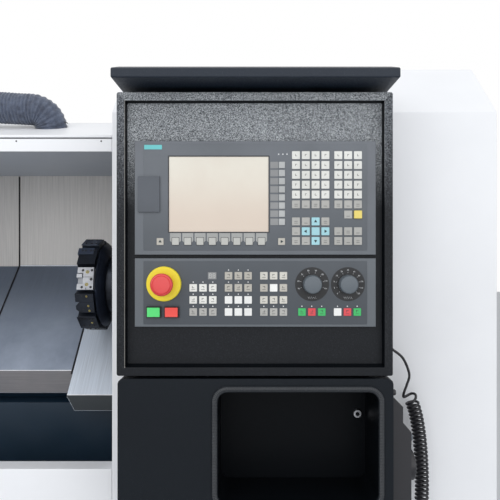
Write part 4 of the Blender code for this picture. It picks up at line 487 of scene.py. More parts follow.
GREEN_KEY = Moulded("green_key", (62, 190, 104), 0.45, 1100, 0.06)
RED_KEY = Moulded("red_key", (228, 76, 84), 0.45, 1100, 0.06)
GREEN_CAP = Moulded("green_cap", (78, 224, 116), 0.35, 1100, 0.05, 0.3)
RED_CAP = Moulded("red_cap", (246, 70, 58), 0.35, 1100, 0.05, 0.3)
# Dark copies of the cap colours for the buttons' sides: painted shade.
GREEN_SIDE_SHADE = Moulded("green_flank", (14, 62, 34), 0.4, 1000, 0.05)
RED_SIDE_SHADE = Moulded("red_flank", (88, 16, 18), 0.4, 1000, 0.05)
MUSHROOM = Moulded("mushroom_red", (228, 66, 66), 0.35, 1000, 0.05, 0.3)
COLLAR = Moulded("collar_yellow", (246, 226, 48), 0.45, 1000, 0.05)
KNOB = Moulded("knob_grey", (68, 75, 84), 0.5, 800, 0.15)
DIAL = Moulded("dial_black", (26, 27, 30), 0.5, 900, 0.08)
PORT = Moulded("port_grey", (80, 85, 93), 0.45, 800, 0.1)
PRINT = Moulded("print_white", (214, 216, 218), 0.6, 900, 0.03)
MARK = Moulded("mark_dark", (72, 72, 74), 0.6, 900, 0.03)
ARROW = Moulded("arrow_dark", (22, 40, 46), 0.6, 900, 0.03)
BADGE = Moulded("badge_bare", (112, 204, 206), 0.5, 900, 0.04)
LAMP = Moulded("lamp_white", (252, 253, 254), 0.4, 900, 0.03)
BLACK = Moulded("black_plastic", (22, 25, 29), 0.42, 800, 0.15)
RUBBER = Moulded("black_rubber", (14, 18, 24), 0.5, 900, 0.2, 0.0, 0.85)
TRIM = Moulded("edge_trim", (38, 42, 47), 0.5, 900, 0.2)
CLOTH = DuctCloth("duct_cloth", (82, 92, 112))
SCREEN = ScreenFilm("screen_film", (228, 224, 211))
PANE = ClearPane("window_pane", (206, 220, 222))


def make_active(piece: bpy.types.Object) -> None:
    """Leaves edit mode and selects only that piece."""
    current = bpy.context.object
    if current is not None and current.mode != "OBJECT":
        bpy.ops.object.mode_set(mode="OBJECT")
    bpy.ops.object.select_all(action="DESELECT")
    piece.select_set(True)
    bpy.context.view_layer.objects.active = piece


def added(name: str, data: bpy.types.ID) -> bpy.types.Object:
    """Adds an object with that data to the scene."""
    piece = bpy.data.objects.new(name, data)
    bpy.context.scene.collection.objects.link(piece)
    return piece


def merge_points(piece: bpy.types.Object) -> None:
    """Goes to edit mode with everything selected and joins points that coincide."""
    make_active(piece)
    bpy.ops.object.mode_set(mode="EDIT")
    bpy.ops.mesh.select_all(action="SELECT")
    bpy.ops.mesh.remove_doubles(threshold=MERGE)


def settle(name: str) -> bpy.types.Object:
    """Names the newest primitive and applies its place and size to its mesh."""
    piece = bpy.context.object
    piece.name = name
    bpy.ops.object.transform_apply(location=True, rotation=True, scale=True)
    return piece


def block(name: str, low: Point, high: Point) -> bpy.types.Object:
    """Adds a box between two corners."""
    low, high = Vector(low), Vector(high)
    bpy.ops.object.select_all(action="DESELECT")
    bpy.ops.mesh.primitive_cube_add(size=1, location=(low + high) / 2)
    bpy.context.object.scale = high - low
    return settle(name)


def drum(name: str, start: Point, end: Point, radius: float, sides: int = 24) -> bpy.types.Object:
    """Adds a cylinder between two points."""
    start, end = Vector(start), Vector(end)
    turn = (end - start).to_track_quat("Z", "Y").to_euler()
    bpy.ops.object.select_all(action="DESELECT")
    bpy.ops.mesh.primitive_cylinder_add(
        vertices=sides, radius=radius, depth=(end - start).length, location=(start + end) / 2, rotation=turn
    )
    return settle(name)


def slab(name: str, centre: Vector, width: float, height: float, out: float, back: float) -> bpy.types.Object:
    """Adds a box round a point of an upright plate.

    Args:
        name: The box's name.
        centre: The point that it is centred on.
        width: Its size from left to right.
        height: Its size from top to bottom.
        out: How far it stands out towards the operator.
        back: How far it goes back from the point.

    Returns:
        The box.
    """
    half = Vector((width / 2, 0, height / 2))
    return block(name, centre - half - Vector((0, out, 0)), centre + half + Vector((0, back, 0)))


def seat_of(node: str) -> Vector:
    """The middle of a CAD node's back, which what faces the operator is seated on."""
    low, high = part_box(node)
    return Vector(((low.x + high.x) / 2, high.y, (low.z + high.z) / 2))


def rounded_loop(sides: Sequence[float], corner: float, front: float, steps: int) -> list[Vector]:
    """Points round an upright rectangle with rounded corners.

    Args:
        sides: Its left, right, bottom and top.
        corner: The corners' radius.
        front: Its depth.
        steps: How many steps each corner has.

    Returns:
        The points, from the upper right corner over the top.
    """
    left, right, bottom, top = sides
    centres = ((right - corner, top - corner), (left + corner, top - corner))
    centres += ((left + corner, bottom + corner), (right - corner, bottom + corner))
    found = []
    for turn, (x, z) in enumerate(centres):
        for step in range(steps + 1):
            angle = math.pi / 2 * (turn + step / steps)
            found.append(Vector((x + corner * math.cos(angle), front, z + corner * math.sin(angle))))
    return found


def pick_faces(piece: bpy.types.Object, wanted: Test) -> None:
    """Goes to edit mode with only those faces selected whose centre and normal pass the test."""
    make_active(piece)
    bpy.ops.object.mode_set(mode="EDIT")
    bpy.ops.mesh.select_mode(type="FACE")
    bpy.ops.mesh.select_all(action="DESELECT")
    bpy.ops.object.mode_set(mode="OBJECT")
    for face in piece.data.polygons:
        face.select = wanted(face.center, face.normal)
    bpy.ops.object.mode_set(mode="EDIT")


def pick_edges(piece: bpy.types.Object, wanted: Test) -> None:
    """Goes to edit mode with only those edges selected whose middle and direction pass the test."""
    make_active(piece)
    bpy.ops.object.mode_set(mode="EDIT")
    bpy.ops.mesh.select_mode(type="EDGE")
    bpy.ops.mesh.select_all(action="DESELECT")
    bpy.ops.object.mode_set(mode="OBJECT")
    points = piece.data.vertices
    for edge in piece.data.edges:
        start, end = (points[number].co for number in edge.vertices)
        edge.select = wanted((start + end) / 2, (end - start).normalized())
        if edge.select:
            for number in edge.vertices:
                points[number].select = True
    bpy.ops.object.mode_set(mode="EDIT")


def leave() -> None:
    """Goes back to object mode."""
    bpy.ops.object.mode_set(mode="OBJECT")


def inset(piece: bpy.types.Object, wanted: Test, width: float, depth: float = 0.0) -> None:
    """Insets faces and pushes them in (negative depth) or out."""
    pick_faces(piece, wanted)
    bpy.ops.mesh.inset(thickness=width, depth=depth)
    leave()


def round_edges(piece: bpy.types.Object, wanted: Test, width: float, steps: int = 3) -> None:
    """Bevels chosen edges."""
    pick_edges(piece, wanted)
    bpy.ops.mesh.bevel(offset=width, segments=steps, affect="EDGES", clamp_overlap=True)
    leave()


def round_sides(piece: bpy.types.Object, width: float, steps: int = 3) -> None:
    """Bevels the edges that run from front to back."""
    round_edges(piece, lambda middle, way: abs(way.y) > ALONG, width, steps)


def round_front(piece: bpy.types.Object, depth: float, width: float, steps: int = 2) -> None:
    """Bevels the edges that lie nearer the operator than a depth."""
    round_edges(piece, lambda middle, way: middle.y < depth, width, steps)


def dish(piece: bpy.types.Object, width: float, depth: float) -> None:
    """Insets the face towards the operator and sinks it."""
    inset(piece, lambda middle, normal: normal.y < -FACING, width, -depth)


def apply_modifier(piece: bpy.types.Object, kind: str, **settings: object) -> None:
    """Adds a modifier with its settings and applies it."""
    make_active(piece)
    change = piece.modifiers.new("change", kind)
    for name, value in settings.items():
        setattr(change, name, value)
    bpy.ops.object.modifier_apply(modifier=change.name)


def round_all(piece: bpy.types.Object, width: float, steps: int = 2, angle: float = 28) -> None:
    """Bevels every sharp edge."""
    apply_modifier(
        piece, "BEVEL", width=width, segments=steps, limit_method="ANGLE", angle_limit=math.radians(angle)
    )


def cut(piece: bpy.types.Object, *tools: bpy.types.Object) -> None:
    """Cuts tools out of a piece and removes them."""
    for tool in tools:
        apply_modifier(piece, "BOOLEAN", operation="DIFFERENCE", object=tool, solver="EXACT")
        bpy.data.objects.remove(tool)


def join(name: str, pieces: Sequence[bpy.types.Object]) -> bpy.types.Object:
    """Joins pieces of one finish into one object."""
    make_active(pieces[0])
    for piece in pieces:
        piece.select_set(True)
    if len(pieces) > 1:
        bpy.ops.object.join()
    pieces[0].name = name
    return pieces[0]


def copies(name: str, master: bpy.types.Object, offsets: Iterable[Point]) -> bpy.types.Object:
    """Copies a master to each offset, each copy with its own mesh, and joins them.

    Args:
        name: The joined object's name.
        master: The piece to copy, which is used up.
        offsets: How far each copy is moved.

    Returns:
        The joined object.
    """
    made = []
    for offset in offsets:
        piece = master.copy()
        piece.data = master.data.copy()
        piece.data.transform(Matrix.Translation(offset))
        bpy.context.scene.collection.objects.link(piece)
        made.append(piece)
    bpy.data.objects.remove(master)
    return join(name, made)


def turned(
    name: str, profile: Sequence[tuple[float, float]], centre: Point, axis: str, sides: int = 48
) -> bpy.types.Object:
    """Spins a closed profile of (radius, along) points round an axis by a Screw.

    Args:
        name: The object's name.
        profile: Points from the outer end's middle to the inner end's middle.
        centre: Where the axis starts.
        axis: "X" for along +X, "Y" for along -Y, "Z" for along +Z.
        sides: How many facets go round.

    Returns:
        The turned piece.
    """
    mesh = bpy.data.meshes.new(name)
    points = [(radius, 0, along) for radius, along in profile]
    mesh.from_pydata(points, [(k, k + 1) for k in range(len(points) - 1)], [])
    piece = added(name, mesh)
    apply_modifier(
        piece, "SCREW", axis="Z", steps=sides, render_steps=sides, use_merge_vertices=True, merge_threshold=MERGE
    )
    turn = {"X": Matrix.Rotation(math.pi / 2, 4, "Y"), "Y": Matrix.Rotation(math.pi / 2, 4, "X")}
    piece.data.transform(Matrix.Translation(centre) @ turn.get(axis, Matrix.Identity(4)))
    merge_points(piece)
    bpy.ops.mesh.normals_make_consistent(inside=False)
    leave()
    return piece


def tube(
    name: str,
    route: Sequence[Point],
    radius: float,
    swell: Sequence[float] | None = None,
    closed: bool = False,
    resolution: int = 3,
) -> bpy.types.Object:
    """Adds a curve with round section along a route.

    Args:
        name: The curve's name.
        route: Its points.
        radius: Half its thickness.
        swell: A factor on the radius for each point.
        closed: Whether it ends where it starts.
        resolution: How fine the section is.

    Returns:
        The curve object.
    """
    curve = bpy.data.curves.new(name, "CURVE")
    curve.dimensions = "3D"
    curve.bevel_depth = radius
    curve.bevel_resolution = resolution
    curve.use_fill_caps = not closed
    spline = curve.splines.new("POLY")
    spline.points.add(len(route) - 1)
    spline.use_cyclic_u = closed
    for number, place in enumerate(route):
        spline.points[number].co = (*place, 1)
        spline.points[number].radius = 1 if swell is None else swell[number]
    return added(name, curve)


def to_mesh(piece: bpy.types.Object) -> bpy.types.Object:
    """Turns a curve or text object into a mesh with its place applied."""
    make_active(piece)
    bpy.ops.object.convert(target="MESH")
    bpy.ops.object.transform_apply(location=True, rotation=True, scale=True)
    return bpy.context.object


def turn_about(piece: bpy.types.Object, centre: Point, angle: float, axis: str) -> bpy.types.Object:
    """Turns a piece's mesh about a point by the right-hand rule."""
    centre = Vector(centre)
    turn = Matrix.Translation(centre) @ Matrix.Rotation(angle, 4, axis) @ Matrix.Translation(-centre)
    piece.data.transform(turn)
    return piece


def softened(node: str, width: float, steps: int = 2) -> bpy.types.Object:
    """Copies a CAD node, merges it and rounds its sharp edges, as real sheet and castings have them.

    Args:
        node: The CAD node's name.
        width: The rounding's width.
        steps: The rounding's segments.

    Returns:
        The rounded copy.
    """
    source = bpy.data.objects[node]
    piece = source.copy()
    piece.data = source.data.copy()
    piece.parent = None
    piece.matrix_world = Matrix.Identity(4)
    for key in [key for key in piece.keys() if key.startswith("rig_")]:
        del piece[key]
    bpy.context.scene.collection.objects.link(piece)
    piece.name = f"{node}_finished"
    piece.data.materials.clear()
    merge_points(piece)
    bpy.ops.mesh.dissolve_limited(angle_limit=math.radians(0.5))
    leave()
    round_all(piece, width, steps)
    return piece


def give(piece: bpy.types.Object, finish: Finish, body: Body, nodes: Sequence[str] = ()) -> bpy.types.Object:
    """Finishes a piece: smooth faces, material, the body that it rides on, and the nodes it stands for.

    Args:
        piece: The finished shape.
        finish: What it is covered with.
        body: The CAD body it moves with.
        nodes: The CAD nodes that it replaces.

    Returns:
        The same piece.
    """
    make_active(piece)
    if piece.type == "MESH":
        bpy.ops.object.shade_smooth_by_angle(angle=SMOOTH_ANGLE)
        apply_modifier(piece, "WEIGHTED_NORMAL", keep_sharp=True)
    piece.data.materials.clear()
    piece.data.materials.append(finish.material())
    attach(piece, body.value)
    if nodes:
        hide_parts(*nodes)
    LOG.info("%s: %s on %s", piece.name, finish.name, body.value)
    return piece


def cover(
    node: str, finish: Finish, body: Body = Body.FRAME, width: float = 0.0012, steps: int = 2
) -> bpy.types.Object:
    """Puts a finished copy of a CAD node, with rounded edges, in the node's place."""
    return give(softened(node, width, steps), finish, body, (node,))


def also(piece: bpy.types.Object, finish: Finish, wanted: Test) -> None:
    """Gives a second finish to the faces whose centre and normal pass the test."""
    piece.data.materials.append(finish.material())
    number = len(piece.data.materials) - 1
    for face in piece.data.polygons:
        if wanted(face.center, face.normal):
            face.material_index = number


def dress(node: str, finish: Finish) -> None:
    """Gives a CAD node that stays shown its finish."""
    piece = bpy.data.objects[node]
    piece.data.materials.clear()
    piece.data.materials.append(finish.material())
    LOG.info("%s: %s on the CAD node", node, finish.name)


@dataclass
class Camera:
    """The photograph's viewpoint: level, square to the machine, an arm's length from the console."""

    place: tuple[float, float, float] = (0.656, -1.72, 1.30)
    lens: float = 39.6
    sensor: float = 36.0
    shift: float = -0.002

    def build(self) -> None:
        """Adds the camera and makes it the scene's."""
        bpy.ops.object.camera_add(location=self.place, rotation=(math.pi / 2, 0, 0))
        camera = bpy.context.object
        camera.data.lens = self.lens
        camera.data.sensor_width = self.sensor
        camera.data.shift_y = self.shift
        camera.data.clip_start = 0.02
        bpy.context.scene.camera = camera


@dataclass
class Studio:
    """Pale floor, white surroundings and soft lamps."""

    floor: tuple[int, int, int] = (226, 227, 229)
    floor_size: float = 30.0
    ambient: float = 0.57

    def build(self) -> None:
        """Adds the world, the floor and the lamps."""
        self.light_world()
        self.lay_floor()
        self.hang_lamp("top_lamp", (0.3, -1.9, 3.9), (0.3, -0.4, 1.0), 3.2, 32)
        self.hang_lamp("left_lamp", (-1.9, -3.6, 2.3), (0.3, -0.6, 1.2), 2.6, 30)
        self.hang_lamp("right_lamp", (2.6, -3.4, 2.0), (0.6, -0.6, 1.2), 2.6, 18)
        self.hang_lamp("front_lamp", (0.7, -4.4, 1.5), (0.6, -0.6, 1.25), 2.4, 17)
        bpy.context.scene.view_settings.view_transform = "Standard"

    def light_world(self) -> None:
        """Lights the scene softly, and shows white to the camera and in reflections."""
        world = bpy.data.worlds.new("studio")
        bpy.context.scene.world = world
        world.use_nodes = True
        tree = world.node_tree
        soft = tree.nodes["Background"]
        soft.inputs["Color"].default_value = (0.94, 0.97, 1.0, 1)
        soft.inputs["Strength"].default_value = self.ambient
        white = tree.nodes.new("ShaderNodeBackground")
        white.inputs["Color"].default_value = (1, 1, 1, 1)
        white.inputs["Strength"].default_value = 1.0
        path = tree.nodes.new("ShaderNodeLightPath")
        shown = path.outputs["Is Camera Ray"]
        for kind in ("Is Transmission Ray", "Is Glossy Ray"):
            either = tree.nodes.new("ShaderNodeMath")
            either.operation = "MAXIMUM"
            tree.links.new(shown, either.inputs[0])
            tree.links.new(path.outputs[kind], either.inputs[1])
            shown = either.outputs["Value"]
        mixed = tree.nodes.new("ShaderNodeMixShader")
        tree.links.new(shown, mixed.inputs["Fac"])
        tree.links.new(soft.outputs["Background"], mixed.inputs[1])
        tree.links.new(white.outputs["Background"], mixed.inputs[2])
        tree.links.new(mixed.outputs["Shader"], tree.nodes["World Output"].inputs["Surface"])

    def lay_floor(self) -> None:
        """Adds the plain floor."""
        bpy.ops.mesh.primitive_plane_add(size=self.floor_size)
        floor = bpy.context.object
        floor.name = "floor"
        floor.data.materials.append(Enamel("floor_pale", self.floor, 0.8, 0.0, 50, 0.99).material())

    def hang_lamp(self, name: str, place: Point, aim: Point, size: float, power: float) -> None:
        """Adds one soft square lamp that faces a point."""
        lamp = bpy.data.lights.new(name, "AREA")
        lamp.size = size
        lamp.energy = power
        item = added(name, lamp)
        item.location = place
        item.rotation_euler = (Vector(aim) - Vector(place)).to_track_quat("-Z", "Y").to_euler()


def smooth_route(route: Sequence[Point], step: float) -> list[Vector]:
    """Points about a step apart on a smooth curve through the route's own points."""
    places = [Vector(place) for place in route]
    ends = [places[0] * 2 - places[1]] + places + [places[-1] * 2 - places[-2]]
    found = []
    for before, start, end, after in zip(ends, ends[1:], ends[2:], ends[3:]):
        count = max(1, round((end - start).length / step))
        leaving, arriving = (end - before) / 6, (after - start) / 6
        found += interpolate_bezier(start, start + leaving, end - arriving, end, count + 1)[:-1]
    found.append(places[-1])
    return found


def length_of(route: Sequence[Vector]) -> float:
    """How long a route is."""
    return sum((end - start).length for start, end in zip(route, route[1:]))


def frames_along(route: Sequence[Vector]) -> list[tuple[Vector, Vector, Vector]]:
    """For each point of a route, the point and two directions across it that don't twist."""
    found = []
    side = Vector((0, -1, 0))
    for number, place in enumerate(route):
        ahead = route[min(number + 1, len(route) - 1)] - route[max(number - 1, 0)]
        ahead.normalize()
        side = (side - ahead * side.dot(ahead)).normalized()
        found.append((place, side, ahead.cross(side)))
    return found


@dataclass
class CurlyLead:
    """The hand-held unit's lead: a plain stretch out of the gland, then a long curly one."""

    diameter: float = 0.005
    coil_radius: float = 0.011
    pitch: float = 0.0077
    first_lift: float = 0.016
    steps: int = 14
    closing_turns: float = 1.5
    joins_at: int = 5
    bend: tuple[tuple[float, float, float], ...] = (
        (0.9521, -0.6588, 1.0190),
        (0.9535, -0.6552, 1.0136),
        (0.9584, -0.6514, 1.0136),
    )
    plain: tuple[tuple[float, float, float], ...] = (
        (0.9176, -0.66, 1.1100),
        (0.9262, -0.66, 1.1094),
        (0.9345, -0.66, 1.1036),
        (0.9489, -0.66, 1.0919),
        (0.9582, -0.66, 1.0749),
        (0.9632, -0.66, 1.0560),
        (0.9592, -0.66, 1.0410),
        (0.9538, -0.66, 1.0264),
    )
    curly: tuple[tuple[float, float, float], ...] = (
        (0.9658, -0.66, 1.0120),
        (0.9759, -0.66, 0.9792),
        (0.9830, -0.661, 0.9300),
        (0.9860, -0.663, 0.8700),
        (0.9840, -0.667, 0.8150),
        (0.9750, -0.674, 0.7700),
        (0.9560, -0.687, 0.7480),
        (0.9370, -0.699, 0.7620),
        (0.9280, -0.7075, 0.7950),
        (0.9250, -0.71, 0.8420),
    )

    def helix(self) -> list[Vector]:
        """Points of the curly stretch, which opens from its middle line and closes to it again."""
        line = smooth_route(self.curly, self.pitch / self.steps)
        total = length_of(line)
        found, travelled = [], 0.0
        for number, (place, side, across) in enumerate(frames_along(line)):
            if number:
                travelled += (line[number] - line[number - 1]).length
            angle = math.tau * travelled / self.pitch
            grow = min(1.0, (total - travelled) / (self.pitch * self.closing_turns))
            reach = self.coil_radius * grow
            ahead = side.cross(across)
            lift = self.first_lift * max(0.0, 1 - angle / math.tau) * (1 - math.cos(angle)) / 2
            found.append(place - side * math.sin(angle) * reach + across * math.cos(angle) * reach - ahead * lift)
        return found

    def build(self) -> None:
        start = smooth_route(self.plain, self.diameter)
        coil = self.helix()
        into = (start[-2], start[-1], *self.bend, *coil[self.joins_at - 1 : self.joins_at + 1])
        lead_in = smooth_route(into, self.diameter / 2)
        route = start[:-2] + lead_in[:-1] + coil[self.joins_at :]
        piece = tube("curly_lead", route, self.diameter / 2, resolution=2)
        give(piece, RUBBER, Body.FRAME, ("cord_lead", "cord_coil"))


@dataclass
class FumeDuct:
    """Cloth duct over a wire coil, from the hole in the roof to the mist collector."""

    diameter: float = 0.068
    coil_pitch: float = 0.0072
    groove: float = 0.0019
    crumple: float = 0.0012
    sides: int = 44
    step: float = 0.0012
    route: tuple[tuple[float, float, float], ...] = (
        (0.2160, -0.4907, 1.5409),
        (0.2160, -0.5010, 1.5702),
        (0.2132, -0.5057, 1.5836),
        (0.2053, -0.5097, 1.5950),
        (0.1935, -0.5124, 1.6027),
        (0.1790, -0.5135, 1.6057),
        (0.1500, -0.5140, 1.6070),
        (0.1015, -0.5140, 1.6100),
        (0.0300, -0.5130, 1.6140),
        (-0.0500, -0.5080, 1.6180),
        (-0.1500, -0.4960, 1.6230),
        (-0.2500, -0.4640, 1.6340),
        (-0.3300, -0.4180, 1.6480),
        (-0.4000, -0.3550, 1.6620),
        (-0.4600, -0.2900, 1.6780),
        (-0.5200, -0.2300, 1.6930),
        (-0.5600, -0.2040, 1.6990),
        (-0.5900, -0.2000, 1.7000),
        (-0.6197, -0.2000, 1.7000),
    )

    def radius_at(self, along: float, angle: float) -> float:
        """The cloth's distance from the middle line: out at the wire, in and crumpled between its turns."""
        phase = math.tau * along / self.coil_pitch - angle
        between = (1 - math.cos(phase)) / 2
        fold = noise.noise(Vector((along * 60, math.cos(angle) * 2.2, math.sin(angle) * 2.2)))
        fine = noise.noise(Vector((along * 190, math.cos(angle) * 6, math.sin(angle) * 6)))
        return self.diameter / 2 - self.groove * between + self.crumple * (fold + fine * 0.6) * (0.4 + between)

    def build(self) -> None:
        line = smooth_route(self.route, self.step)
        mesh = bmesh.new()
        rings, travelled = [], 0.0
        for number, (place, side, across) in enumerate(frames_along(line)):
            if number:
                travelled += (line[number] - line[number - 1]).length
            ring = []
            for k in range(self.sides):
                angle = math.tau * k / self.sides
                reach = self.radius_at(travelled, angle)
                ring.append(mesh.verts.new(place + (side * math.cos(angle) + across * math.sin(angle)) * reach))
            rings.append(ring)
        for first, second in zip(rings, rings[1:]):
            for k in range(self.sides):
                after = (k + 1) % self.sides
                mesh.faces.new((first[k], first[after], second[after], second[k]))
        mesh.faces.new(rings[0])
        mesh.faces.new(rings[-1])
        bmesh.ops.recalc_face_normals(mesh, faces=mesh.faces)
        data = bpy.data.meshes.new("fume_duct_cloth")
        mesh.to_mesh(data)
        mesh.free()
        piece = give(added("fume_duct_cloth", data), CLOTH, Body.FRAME, ("fume_duct",))
        self.add_tail()

    @staticmethod
    def add_tail() -> None:
        """Adds the free end of the tie that holds the cloth at its bend."""
        tail = block("duct_tie_tail", (0.2425, -0.5140, 1.5800), (0.2560, -0.5080, 1.5816))
        turn_about(tail, (0.2425, -0.511, 1.5808), math.radians(18), "Y")
        round_all(tail, 0.0004, 2)
        give(tail, BLACK, Body.FRAME)


class KeyKind(Enum):
    """The kinds of small keys, with their finishes."""

    LIGHT = LIGHT_KEY
    GREY = GREY_KEY
    WHITE = WHITE_KEY
    CYAN = CYAN_KEY
    GREEN = GREEN_KEY
    RED = RED_KEY
    YELLOW = YELLOW_KEY
    SOFT = SOFT_KEY
    BEIGE = BEIGE_KEY
    CREAM = CREAM_KEY


@dataclass
class OperatorPlate:
    """A plate of the console, whose fittings are placed from its left edge and down from its top."""

    node: str
    left: float
    right: float
    bottom: float
    top: float
    front: float = -0.763
    side_margin: float = 0.0152
    top_margin: float = 0.0049
    bottom_margin: float = 0.0075
    step_depth: float = 0.0006

    @classmethod
    def on(cls, node: str, **settings: float) -> OperatorPlate:
        """Sizes a plate from its CAD node's box."""
        low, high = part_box(node)
        return cls(node, low.x, high.x, low.z, high.z, **settings)

    def at(self, x: float, drop: float, proud: float = 0.0) -> Vector:
        """The point that far from the left edge, below the top and in front of the plate."""
        return Vector((self.left + x, self.front - proud, self.top - drop))

    def sheet(self) -> bpy.types.Object:
        """Adds the plate's lower sheet with its two side strips."""
        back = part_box(self.node)[1].y
        low = (self.left, self.front + self.step_depth, self.bottom)
        piece = block(f"{self.node}_strip", low, (self.right, back, self.top))
        round_front(piece, self.front + 2 * self.step_depth, 0.0008)
        return piece

    def face(self) -> bpy.types.Object:
        """Adds the raised middle of the plate."""
        low = (self.left + self.side_margin, self.front, self.bottom + self.bottom_margin)
        high = (self.right - self.side_margin, self.front + 0.004, self.top - self.top_margin)
        piece = block(f"{self.node}_face", low, high)
        round_sides(piece, 0.0015)
        round_front(piece, self.front + MERGE, 0.0005)
        return piece

    def pocket(self, x: float, drop: float, width: float, height: float, depth: float) -> bpy.types.Object:
        """Adds a tool that cuts a rectangular recess, centred there."""
        return slab("tool", self.at(x, drop), width, height, 0.01, depth)

    def key(self, width: float, height: float, proud: float = KEY_PROUD) -> bpy.types.Object:
        """Models one dished key cap at the plate's top left corner."""
        cap = slab("key", self.at(0, 0), width, height, proud, 0.0008)
        dish(cap, 0.0013, 0.00015)
        round_sides(cap, 0.0009)
        round_front(cap, self.front - proud + MERGE, 0.0004)
        return cap

    def keys(self, kind: KeyKind, places: Sequence[tuple[float, float]], width: float, height: float) -> None:
        """Adds all keys of one kind, joined."""
        spots = [(x, 0, -drop) for x, drop in places]
        joined = copies(f"{self.node}_{kind.name.lower()}_keys", self.key(width, height), spots)
        give(joined, kind.value, Body.FRAME)

    def lamps(self, places: Sequence[tuple[float, float]], radius: float = 0.0010) -> None:
        """Adds small round lamps."""
        centre = self.at(0, 0)
        master = drum("lamp", centre + Vector((0, 0.0005, 0)), centre - Vector((0, 0.0005, 0)), radius, 10)
        round_front(master, self.front - 0.0004, 0.0003)
        give(copies(f"{self.node}_lamps", master, [(x, 0, -drop) for x, drop in places]), LAMP, Body.FRAME)


def stroke(plate: OperatorPlate, width: float, height: float, proud: float = KEY_PROUD - PRINT_LOW) -> bpy.types.Object:
    """Models one printed stroke, a thin bar centred on the plate's top left corner."""
    bar = slab("stroke", plate.at(0, 0, proud), width, height, 0.00012, 0.0003)
    round_sides(bar, min(width, height) * 0.3, 1)
    return bar


